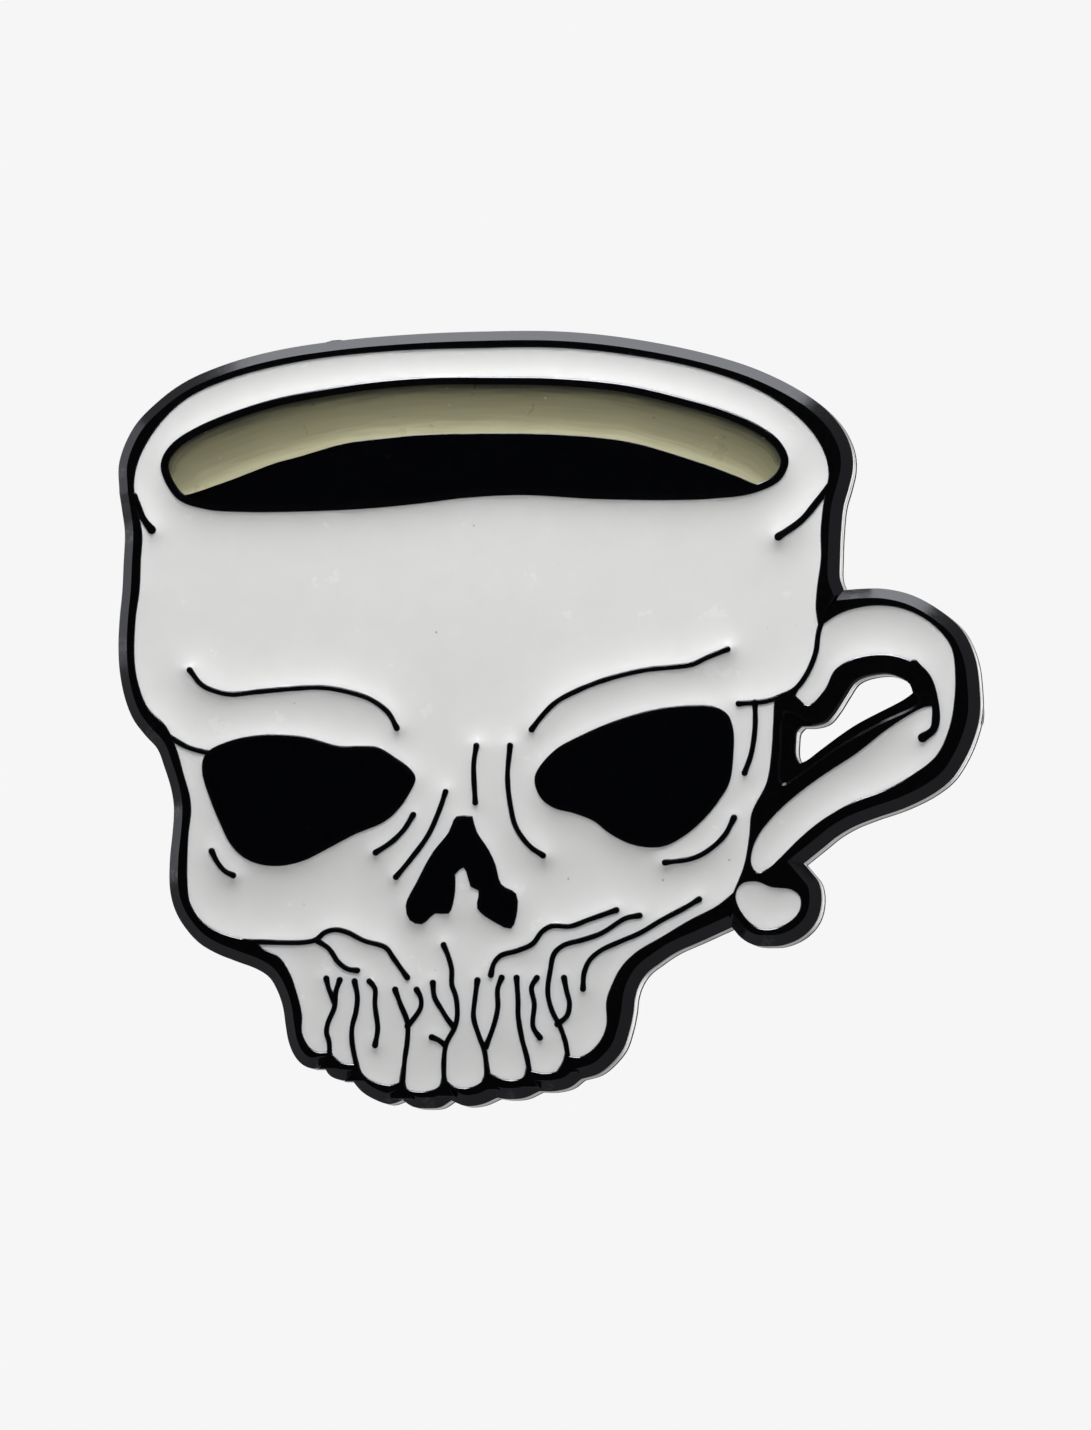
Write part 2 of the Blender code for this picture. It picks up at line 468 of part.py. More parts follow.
def build_post(side, x, steel, solder):
    """A nail post: a flat head in its shallow seat, a shank with a grip groove, and a point."""
    seat = GAP - SEAT_DEPTH
    profile = [(0, seat), (HEAD_R, seat), (HEAD_R, 0.22), (HEAD_R - 0.15, HEAD_BACK),
               (POST_R + 0.15, HEAD_BACK), (POST_R, HEAD_BACK + 0.15), (POST_R, 6.45),
               (POST_R - 0.12, 6.65), (POST_R - 0.12, 7.0), (POST_R, 7.2), (POST_R, 7.45),
               (0.12, POST_TIP - 0.05), (0, POST_TIP)]
    shade_round(place(turned(profile, x, steps=24), side + "_post", steel))
    fillet = [(HEAD_R + GAP, seat), (3.0, seat), (2.75, 0.08), (HEAD_R + 0.12, 0.26),
              (HEAD_R + GAP, 0.28)]
    shade_round(place(turned(fillet, x), side + "_solder", solder))


def build_clutch(side, x, brass, spring):
    """A butterfly clutch: base disc with a rim crimped over the cover, and two spring wings."""
    floor, lip = 0.4, 0.75
    disc = [(DISC_HOLE_R, 0), (DISC_R - 0.25, 0), (DISC_R - 0.06, 0.08), (DISC_R, 0.25),
            (DISC_R, lip), (DISC_R - 0.08, lip + 0.16), (DISC_R - 0.25, lip + 0.22),
            (4.6, lip + 0.22), (4.6, lip), (4.95, lip), (4.95, floor), (DISC_HOLE_R, floor)]
    base = place(turned(disc, x, CLOTH), side + "_clutch_disc", brass)
    centred(shade_round(base), x, 0)
    cover = [(3.2, floor + GAP), (4.92, floor + GAP), (4.92, lip - GAP), (3.75, lip - GAP),
             (3.55, lip + 0.1), (3.5, 1.7), (3.35, 2.1), (3.0, 2.4), (2.4, 2.55), (0.9, 2.6),
             (0.9, 2.3), (2.3, 2.25), (2.85, 2.1), (3.1, 1.9), (3.2, 1.6)]
    dome = place(turned(cover, x, CLOTH), side + "_clutch_cover", brass)
    centred(shade_round(dome), x, 0)
    slot = bmesh.new()
    bmesh.ops.create_cube(slot, size=1)
    bmesh.ops.scale(slot, verts=slot.verts, vec=(4.9 * MM, 2 * MM, 4.1 * MM))
    bmesh.ops.translate(slot, verts=slot.verts, vec=(x * MM, (CLOTH + 2.6) * MM, 0))
    boolean(dome, "DIFFERENCE", place(slot, side + "_slot", guide=guides(side + "_slot_guide")))
    build_wing(side + "_clutch_wing_inner", x, -1 if x > 0 else 1, spring)
    build_wing(side + "_clutch_wing_outer", x, 1 if x > 0 else -1, spring)


def build_wing(name, x, hand, spring):
    """A spring wing: jaw beside the post, a bend at the pivot, and a flared finger tab."""
    jaw = POST_R + JAW_CLEAR
    middle = [(jaw + 0.02, 0.95), (1.15, 0.98), (1.45, 1.2), (1.6, 1.75), WING_PIVOT,
              (2.15, 2.95), (3.1, 3.75), (4.05, 4.45), (4.6, 4.95)]
    upper, lower = line_sides(middle, WING_THICK, 0.45)
    mesh = bmesh.new()
    ring = [mesh.verts.new((p.x * hand * MM, p.y * MM, -1 * MM)) for p in upper + lower[::-1]]
    extrude(mesh, [mesh.faces.new(ring)], (0, 0, 2 * MM))
    for vert in mesh.verts:
        vert.co.z *= wing_half_width(vert.co.y / MM)
    bmesh.ops.translate(mesh, verts=mesh.verts, vec=(x * MM, CLOTH * MM, 0))
    centred(place(mesh, name, spring), x + hand * WING_PIVOT[0], CLOTH + WING_PIVOT[1])


def wing_half_width(behind):
    """Narrow at the jaw, clear of the slot at the pivot, flared and rounded at the tab's end."""
    if behind < 1.4:
        return 1.2
    if behind < 2.9:
        return 1.75
    share = min(1, (behind - 2.9) / 2.1)
    return 1.75 + 1.0 * math.sin(math.pi * min(share, 0.75) / 1.5) - 1.2 * max(0, share - 0.75)


def centred(made, x, y):
    """Moves an object's origin onto its joint axis, leaving its shape where it is."""
    place_of_axis = Vector((x * MM, y * MM, 0))
    made.data.transform(Matrix.Translation(-place_of_axis))
    made.location = place_of_axis
    return made


def build():
    clear_scene()
    metal = material("black_nickel", (0.02, 0.021, 0.023), 0.28, 0.9)
    white = material("white_enamel", (0.72, 0.72, 0.71), 0.3)
    sage = material("sage_enamel", (0.2, 0.19, 0.11), 0.35)
    black = material("black_enamel", (0.004, 0.005, 0.007), 0.15)
    steel = material("post_steel", (0.55, 0.55, 0.54), 0.3, 1.0)
    solder = material("solder", (0.48, 0.48, 0.47), 0.45, 1.0)
    brass = material("clutch_nickel", (0.6, 0.59, 0.56), 0.28, 1.0)
    spring = material("spring_nickel", (0.62, 0.61, 0.58), 0.3, 1.0)
    raised, clearance = build_line_guides()
    build_plate(raised, metal)
    build_enamel(clearance, white, sage, black)
    for side, x in (("left", -POST_SPACING / 2), ("right", POST_SPACING / 2)):
        build_post(side, x, steel, solder)
        build_clutch(side, x, brass, spring)


build()
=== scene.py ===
import json
import math

import bmesh
import bpy
import numpy as np
from mathutils import Matrix, Vector, noise
from mathutils.kdtree import KDTree

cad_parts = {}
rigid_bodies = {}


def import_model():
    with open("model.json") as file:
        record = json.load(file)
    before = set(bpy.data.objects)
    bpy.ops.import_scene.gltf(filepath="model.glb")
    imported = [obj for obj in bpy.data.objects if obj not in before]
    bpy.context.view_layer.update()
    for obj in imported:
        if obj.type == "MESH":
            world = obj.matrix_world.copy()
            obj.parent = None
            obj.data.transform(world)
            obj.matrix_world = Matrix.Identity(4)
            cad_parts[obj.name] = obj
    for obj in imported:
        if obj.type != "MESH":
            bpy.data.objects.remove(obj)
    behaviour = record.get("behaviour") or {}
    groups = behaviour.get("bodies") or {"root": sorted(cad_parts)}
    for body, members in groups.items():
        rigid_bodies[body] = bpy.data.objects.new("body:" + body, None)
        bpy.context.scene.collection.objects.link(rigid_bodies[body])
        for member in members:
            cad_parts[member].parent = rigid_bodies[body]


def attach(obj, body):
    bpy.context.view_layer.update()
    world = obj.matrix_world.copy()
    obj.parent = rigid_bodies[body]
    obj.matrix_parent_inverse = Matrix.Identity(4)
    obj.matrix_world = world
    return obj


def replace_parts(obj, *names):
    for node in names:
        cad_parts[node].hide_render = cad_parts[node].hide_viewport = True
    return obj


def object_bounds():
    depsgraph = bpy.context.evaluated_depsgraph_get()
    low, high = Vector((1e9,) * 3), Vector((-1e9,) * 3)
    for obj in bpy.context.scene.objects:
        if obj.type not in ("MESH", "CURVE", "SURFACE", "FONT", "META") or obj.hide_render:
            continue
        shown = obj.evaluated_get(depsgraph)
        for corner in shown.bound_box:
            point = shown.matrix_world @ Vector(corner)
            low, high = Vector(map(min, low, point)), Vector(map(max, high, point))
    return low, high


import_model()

cad_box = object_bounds()

# The set: the pin hangs upright over a wide pale floor, seen a little from its right and below.
# A near softbox above it lights the enamel, a wide one overhead is mirrored in the sloping edge,
# and it is dark in front and pale behind, so flat metal stays black and the sides turn silver.
MM = 0.001
LOOK_AROUND, LOOK_UP, DISTANCE, VIEW_HEIGHT = math.radians(9), math.radians(-4.5), 0.5, 52.25 * MM
PALE = (0.920, 0.920, 0.920, 1)

middle = (cad_box[0] + cad_box[1]) / 2
aim = Vector((middle.x - 0.04 * MM, -1.6 * MM, middle.z + 0.08 * MM))
towards_camera = Vector((math.sin(LOOK_AROUND) * math.cos(LOOK_UP),
                         -math.cos(LOOK_AROUND) * math.cos(LOOK_UP), math.sin(LOOK_UP)))
camera = bpy.data.objects.new("camera", bpy.data.cameras.new("camera"))
camera.data.lens = 36 * DISTANCE / VIEW_HEIGHT
camera.data.clip_start = 0.01
camera.location = aim + towards_camera * DISTANCE
camera.rotation_euler = (-towards_camera).to_track_quat("-Z", "Y").to_euler()
bpy.context.scene.collection.objects.link(camera)
bpy.context.scene.camera = camera
bpy.context.scene.view_settings.view_transform = "Standard"


def softbox(name, place, target, width, height, watts, mirrored=True, colour=(1, 1, 1)):
    """A soft rectangular light at a place, facing a target, both in millimetres."""
    lamp = bpy.data.lights.new(name, "AREA")
    lamp.shape, lamp.size, lamp.size_y = "RECTANGLE", width * MM, height * MM
    lamp.energy, lamp.color = watts, colour
    made = bpy.data.objects.new(name, lamp)
    made.location = Vector(place) * MM
    made.rotation_euler = (Vector(target) - Vector(place)).to_track_quat("-Z", "Y").to_euler()
    made.visible_camera = False
    made.visible_glossy = mirrored
    bpy.context.scene.collection.objects.link(made)


softbox("key_softbox", (4, -38, 68), (2, 0, 0), 60, 24, 0.068)
softbox("overhead_softbox", (0, -20, 260), (0, 0, 0), 260, 200, 0.35)
softbox("left_reflector", (-220, -20, 75), (0, 0, 0), 160, 160, 0.045)
softbox("front_fill", (0, -260, 60), (0, 0, -4), 200, 200, 0.055, mirrored=False)
softbox("back_softbox", (-60, 240, 170), (0, 4, 0), 160, 160, 0.40)
softbox("back_fill", (120, 220, -10), (0, 4, 0), 120, 160, 0.12)


def add(tree, kind, settings=(), **inputs):
    """Adds a node with its settings, its input values and its incoming links."""
    made = tree.nodes.new("ShaderNode" + kind)
    for label, value in dict(settings).items():
        setattr(made, label, value)
    for label, value in inputs.items():
        label = int(label[1:]) if label[1:].isdigit() else label.replace("_", " ")
        if isinstance(value, bpy.types.NodeSocket):
            tree.links.new(value, made.inputs[label])
        else:
            made.inputs[label].default_value = value
    return made


def value_of(tree, operation, first, second):
    return add(tree, "Math", {"operation": operation}, _0=first, _1=second).outputs[0]


def blended(tree, share, first, second):
    made = add(tree, "Mix", {"data_type": "RGBA"})
    for socket, value in ((made.inputs[0], share), (made.inputs[6], first), (made.inputs[7], second)):
        if isinstance(value, bpy.types.NodeSocket):
            tree.links.new(value, socket)
        else:
            socket.default_value = value
    return made.outputs[2]


world = bpy.data.worlds.new("studio_air")
bpy.context.scene.world = world
world.use_nodes = True
air = world.node_tree
behind = add(air, "SeparateXYZ", Vector=add(air, "TexCoord").outputs["Generated"]).outputs["Y"]
behind = add(air, "MapRange", Value=behind, From_Min=-1.0).outputs["Result"]
reflected = add(air, "ValToRGB", Fac=behind)
reflected.color_ramp.interpolation = "EASE"
levels = reflected.color_ramp.elements
levels[0].position, levels[0].color = 0.08, (0.013, 0.013, 0.015, 1)
levels[1].position, levels[1].color = 0.92, (0.72, 0.72, 0.715, 1)
levels.new(0.36).color = (0.13, 0.13, 0.14, 1)
levels.new(0.60).color = (0.21, 0.21, 0.22, 1)
shown = blended(air, add(air, "LightPath").outputs["Is Camera Ray"], reflected.outputs["Color"], PALE)
air.links.new(shown, air.nodes["Background"].inputs["Color"])

floor_mesh = bmesh.new()
bmesh.ops.create_grid(floor_mesh, x_segments=1, y_segments=1, size=4)
bmesh.ops.translate(floor_mesh, verts=floor_mesh.verts, vec=(0, 0, -80 * MM))
floor_data = bpy.data.meshes.new("studio_floor")
floor_mesh.to_mesh(floor_data)
floor_mesh.free()
studio_floor = bpy.data.objects.new("studio_floor", floor_data)
studio_floor.visible_glossy = False
bpy.context.scene.collection.objects.link(studio_floor)
paper = bpy.data.materials.new("pale_paper")
paper.use_nodes = True
tree = paper.node_tree
matt = tree.nodes["Principled BSDF"]
matt.inputs["Base Color"].default_value = (0.7, 0.7, 0.69, 1)
matt.inputs["Roughness"].default_value = 0.9
glow = add(tree, "Emission", Color=PALE)
share = value_of(tree, "MULTIPLY", add(tree, "LightPath").outputs["Is Camera Ray"], 0.8)
mix = add(tree, "MixShader", _0=share, _1=matt.outputs[0], _2=glow.outputs[0])
tree.links.new(mix.outputs[0], tree.nodes["Material Output"].inputs["Surface"])
floor_data.materials.append(paper)

# The struck plate: one die-struck iron blank plated black nickel, trimmed in a press. A sloping
# shoulder runs round it, three recesses take the enamel, and the drawing stands up as thin
# lines with soft tops. Artwork is in millimetres on the face, heights are in front of the back.
FLOOR, SHOULDER_EDGE, LINE_TOP, SHOULDER = 1.10, 1.25, 1.60, 0.38
LINE, RIM_LINE, RING, HOOK = 0.20, 0.26, 0.30, 0.30
STEP, NOSE_STEP = 0.13, 0.25
STRUCK_HEIGHT, LEAN, TILT = 0.9935, 0.0049, 0.0122
SOFT_EDGE = 0.045
KNOB, KNOB_REACH, HAND_WOBBLE = 0.22, 0.16, 0.10
LOWERED = 1.46
SEAT_R, SEAT_DEPTH, POST_X = 3.05, 0.06, 6.5
SIDES = (("left", -POST_X), ("right", POST_X))

# The outer edge, in runs that meet at corners.
OUTLINE = [
    [(-13.57, 3.65), (-13.57, 4.8), (-13.02, 6.1), (-12.12, 7.05), (-11.07, 7.8), (-9.52, 8.45),
     (-7.62, 8.95), (-5.25, 9.3), (-2.85, 9.5), (-0.45, 9.6), (2.8, 9.6), (5.3, 9.35), (8.1, 8.8),
     (10.05, 8.2), (11.6, 7.45), (12.6, 6.75), (13.25, 6), (13.6, 5.2), (13.65, 4.5), (13.5, 3.8),
     (13.3, 3.1), (13.2, 2.2), (13.15, 1.15), (13.15, 0.45), (13.3, 0)],
    [(13.3, 0), (13.9, 0.05), (14.8, 0.05), (15.85, -0.2), (16.9, -0.8), (17.65, -1.5), (18.1, -2.5),
     (18.25, -3.6), (18.25, -4.6), (18.05, -5.4), (17.7, -6.2), (17.2, -6.95), (16.5, -7.5), (15.5, -8),
     (14.35, -8.4), (13.6, -8.7), (13, -9.05), (12.5, -9.45), (12, -9.85), (11.75, -10.05)],
    [(11.75, -10.05), (12, -10.35), (12.3, -10.75), (12.4, -11.3), (12.3, -11.95), (12.05, -12.4),
     (11.6, -12.8), (11, -13.05), (10.5, -13.1), (9.9, -13.05), (9.45, -12.8), (9.1, -12.4)],
    [(9.1, -12.4), (8, -12.9), (7, -13.35), (6.4, -13.75), (5.95, -14.1), (5.65, -14.55), (5.5, -15.05),
     (5.45, -15.5), (5.3, -16.2), (5.05, -16.9), (4.6, -17.45), (4.15, -17.8), (3.5, -18)],
    [(3.5, -18), (3.1, -18.3), (2.5, -18.45), (1.95, -18.45)],
    [(1.95, -18.45), (1.4, -18.7), (0.8, -18.75), (0.4, -18.7)],
    [(0.4, -18.7), (-0.2, -18.95), (-0.8, -19), (-1.3, -18.8)],
    [(-1.3, -18.8), (-1.7, -19.05), (-2.1, -19.1), (-2.7, -19.05), (-3.1, -18.8)],
    [(-3.1, -18.8), (-3.6, -18.95), (-4.1, -18.8), (-4.6, -18.5), (-4.95, -18.1)],
    [(-4.95, -18.1), (-5.5, -18.05), (-5.8, -17.9), (-6, -17.6)],
    [(-6, -17.6), (-6.47, -17.65), (-6.82, -17.5), (-7.12, -17.15), (-7.32, -16.65), (-7.42, -16.1),
     (-7.52, -15.4), (-7.72, -14.8), (-8.02, -14.3), (-8.47, -14), (-9.27, -13.7), (-10.02, -13.4),
     (-10.67, -13), (-11.27, -12.3), (-11.57, -11.7), (-11.72, -11), (-11.72, -10), (-11.62, -9),
     (-11.57, -8.4), (-11.57, -7.9), (-11.67, -7.3), (-11.92, -6.5), (-12.17, -5.85), (-12.62, -5.35),
     (-13.07, -4.75), (-13.37, -4), (-13.57, -3), (-13.62, -2), (-13.57, -1), (-13.47, 0), (-13.42, 1),
     (-13.37, 2.2), (-13.47, 3), (-13.57, 3.65)],
]

# The recess for the cup and skull, the handle's recess and the foot curl's recess.
SKULL_RECESS = [
    [(-12.85, 3.1), (-12.95, 3.95), (-12.75, 4.9), (-12.05, 6.1), (-11, 7.1), (-9.35, 7.85),
     (-6.65, 8.5), (-3.4, 8.85), (-0.15, 8.95), (2.8, 8.95), (5.3, 8.7), (8.1, 8.15), (10.05, 7.45),
     (11.35, 6.65), (12.25, 5.75), (12.7, 4.9), (12.8, 4.2), (12.65, 3.45), (12.5, 2.2), (12.5, 1.15),
     (12.35, 0.05), (12.3, -0.7), (12.4, -1.4)],
    [(12.4, -1.4), (12.3, -2.3), (12, -3.05), (11.55, -3.6), (10.75, -4.05)],
    [(10.75, -4.05), (10.7, -5), (10.65, -5.8), (10.45, -7.1), (9.9, -8.2), (9.8, -9.05), (9.6, -10.15),
     (9.2, -11.15)],
    [(9.2, -11.15), (8.65, -11.6), (7.6, -12.15), (6.6, -12.75), (5.6, -13.35), (5.05, -13.9),
     (4.7, -14.55), (4.5, -15.15), (4.5, -16), (4.3, -16.55), (3.9, -17), (3.5, -17.2), (3.05, -17.15)],
    [(3.05, -17.15), (2.8, -17.65), (2.25, -17.8), (1.65, -17.7)],
    [(1.65, -17.7), (1.35, -18), (0.8, -18.05), (0.1, -17.75)],
    [(0.1, -17.75), (-0.15, -18.15), (-0.6, -18.35), (-1.1, -18.3), (-1.5, -18)],
    [(-1.5, -18), (-1.75, -18.35), (-2.35, -18.5), (-2.85, -18.4), (-3.05, -18.1)],
    [(-3.05, -18.1), (-3.4, -18.25), (-3.9, -18.2), (-4.4, -17.95), (-4.75, -17.5)],
    [(-4.75, -17.5), (-5.25, -17.45), (-5.75, -17.05)],
    [(-5.75, -17.05), (-6.2, -17.05), (-6.5, -16.85), (-6.75, -16.35), (-6.75, -15.7), (-6.95, -14.85),
     (-7.2, -14.15), (-7.6, -13.55), (-8.25, -13.2), (-8.45, -12.95)],
    [(-8.45, -12.95), (-9.15, -12.85), (-9.9, -12.6), (-10.5, -12.2), (-10.9, -11.55), (-11, -10.7),
     (-10.95, -9.05), (-10.85, -8.2), (-10.9, -7.6), (-11.1, -6.9), (-11.4, -5.85), (-11.8, -5),
     (-12.45, -4.35), (-12.8, -3.5), (-12.95, -2.55), (-12.9, -1.05), (-12.75, 0.05), (-12.7, 1.15),
     (-12.65, 2.1), (-12.85, 3.1)],
]
HANDLE_RECESS = [
    [(12.4, -1.4), (13.3, -0.85), (14.5, -0.6), (15.6, -0.75), (16.6, -1.3), (17.25, -2.1),
     (17.4, -3.05), (17.35, -4.2), (17.15, -5.15), (16.7, -6.1), (15.9, -6.75), (14.85, -7.35),
     (13.55, -7.85), (12.45, -8.5), (11.6, -9.2), (11.05, -9.75), (10.5, -10.25), (10.1, -10.4),
     (9.9, -10.15), (9.9, -9.7), (10.15, -9.05), (10.75, -8.3), (11.45, -7.65), (12.45, -6.9),
     (13.75, -6.05), (15.05, -5.05), (16.25, -4.35), (16.6, -4.3)],
    [(16.6, -4.3), (16.45, -3.3)],
    [(16.45, -3.3), (16, -2.75), (15.05, -2.4), (13.8, -2.5), (13, -2.95), (12.6, -3.7), (12, -4.25),
     (11.55, -3.9)],
    [(11.55, -3.9), (12, -3.05), (12.3, -2.3), (12.4, -1.4)],
]
CURL_RECESS = [
    [(9.3, -11.3), (9.5, -10.85), (10.05, -10.75), (10.6, -10.95), (11.35, -11.05), (11.65, -11.3),
     (11.65, -11.75), (11.35, -12.15), (10.75, -12.45), (10.15, -12.45), (9.6, -12), (9.3, -11.3)],
]
HANDLE_HOLE = [
    [(11.72, -5.02), (12.2, -5), (12.65, -4.85), (13, -4.45), (13.35, -3.9), (13.7, -3.4), (14.1, -3.2),
     (14.9, -3.1), (15.4, -3.25), (15.75, -3.5), (15.85, -3.8)],
    [(15.85, -3.8), (15.5, -4.05), (13.7, -5), (12.5, -5.85), (11.9, -6.3), (11.65, -6.4)],
    [(11.65, -6.4), (11.5, -6.1), (11.5, -5.55), (11.55, -5.2), (11.72, -5.02)],
]
# Closed bands: the cup's mouth, the eyes and the nose, each given by its outer edge.
MOUTH = [
    [(-11.95, 4.45), (-11.9, 4.95), (-11.5, 5.5), (-10.65, 6.05), (-9.35, 6.6), (-7.75, 7.1), (-6, 7.45),
     (-3.9, 7.75), (-1.8, 7.9), (0.5, 7.9), (2.8, 7.85), (5.3, 7.6), (7.45, 7.1), (9.1, 6.6),
     (10.3, 6.05), (11.05, 5.45), (11.35, 4.75), (11.05, 4.05), (10.05, 3.55), (8.55, 3.35), (6.9, 3.3),
     (4.2, 3.35), (1.5, 3.5), (-0.65, 3.4), (-2.3, 3.2), (-4.5, 3), (-7.3, 2.9), (-8.8, 2.9),
     (-10.25, 3), (-11.35, 3.4), (-11.95, 4.45)],
]
LEFT_EYE = [
    [(-10.15, -5.9), (-9.35, -5.55), (-8.3, -5.35), (-7.2, -5.35), (-6.45, -5.45), (-5.35, -5.75),
     (-4.5, -5.75), (-3.9, -5.8), (-3.3, -6.15), (-2.7, -6.6), (-2.5, -6.95), (-2.7, -7.45),
     (-3.1, -8.05), (-3.65, -8.55), (-4.8, -9.05), (-5.75, -9.55), (-6.65, -10), (-7.5, -10.2),
     (-8.3, -10.15), (-8.9, -9.9), (-9.4, -9.4), (-9.8, -8.6), (-10.15, -7.75), (-10.45, -6.75),
     (-10.4, -6.2), (-10.15, -5.9)],
]
RIGHT_EYE = [
    [(1.9, -6.9), (2.6, -5.95), (3.65, -5.35), (4.95, -4.8), (6.35, -4.4), (7.7, -4.25), (8.55, -4.3),
     (9.05, -4.6), (9.25, -5.15), (9.25, -6.05), (9.1, -7.1), (8.65, -7.85), (8.1, -8.5), (7.45, -9.05),
     (6.7, -9.45), (6.05, -9.5), (5.35, -9.35), (4.6, -8.95), (4.1, -8.55), (3.35, -8.25), (2.6, -8.05),
     (2.1, -7.65), (1.9, -6.9)],
]
NOSE = [
    [(-0.4, -8.35), (-0.25, -8.9), (0.2, -9.6), (0.45, -10.15), (0.65, -10.85), (1.2, -11.2),
     (1.25, -11.8), (1, -12.5), (0.45, -12.3), (-0.25, -11.75), (-0.2, -11.1), (-0.5, -10.95)],
    [(-0.5, -10.95), (-0.75, -10.25), (-1.05, -10.5)],
    [(-1.05, -10.5), (-1.05, -11.1), (-1.3, -11.95), (-1.8, -11.95), (-2.3, -12.35), (-2.75, -12.2),
     (-2.9, -11.65), (-2.5, -10.8), (-1.9, -9.7), (-1.3, -8.95), (-1, -8.35), (-0.4, -8.35)],
]

# The raised line between the sage wall and the coffee, which ends inside the mouth's band.
COFFEE_LINE = [
    (-11.1, 3.42), (-10.8, 3.5), (-9.9, 3.8), (-8.8, 4.2), (-7.75, 4.6), (-6.65, 4.9), (-5.05, 5.35),
    (-3.9, 5.5), (-2.3, 5.65), (-0.15, 5.7), (2.8, 5.65), (5.3, 5.4), (7.45, 4.8), (9.4, 4.1),
    (10.1, 3.78),
]

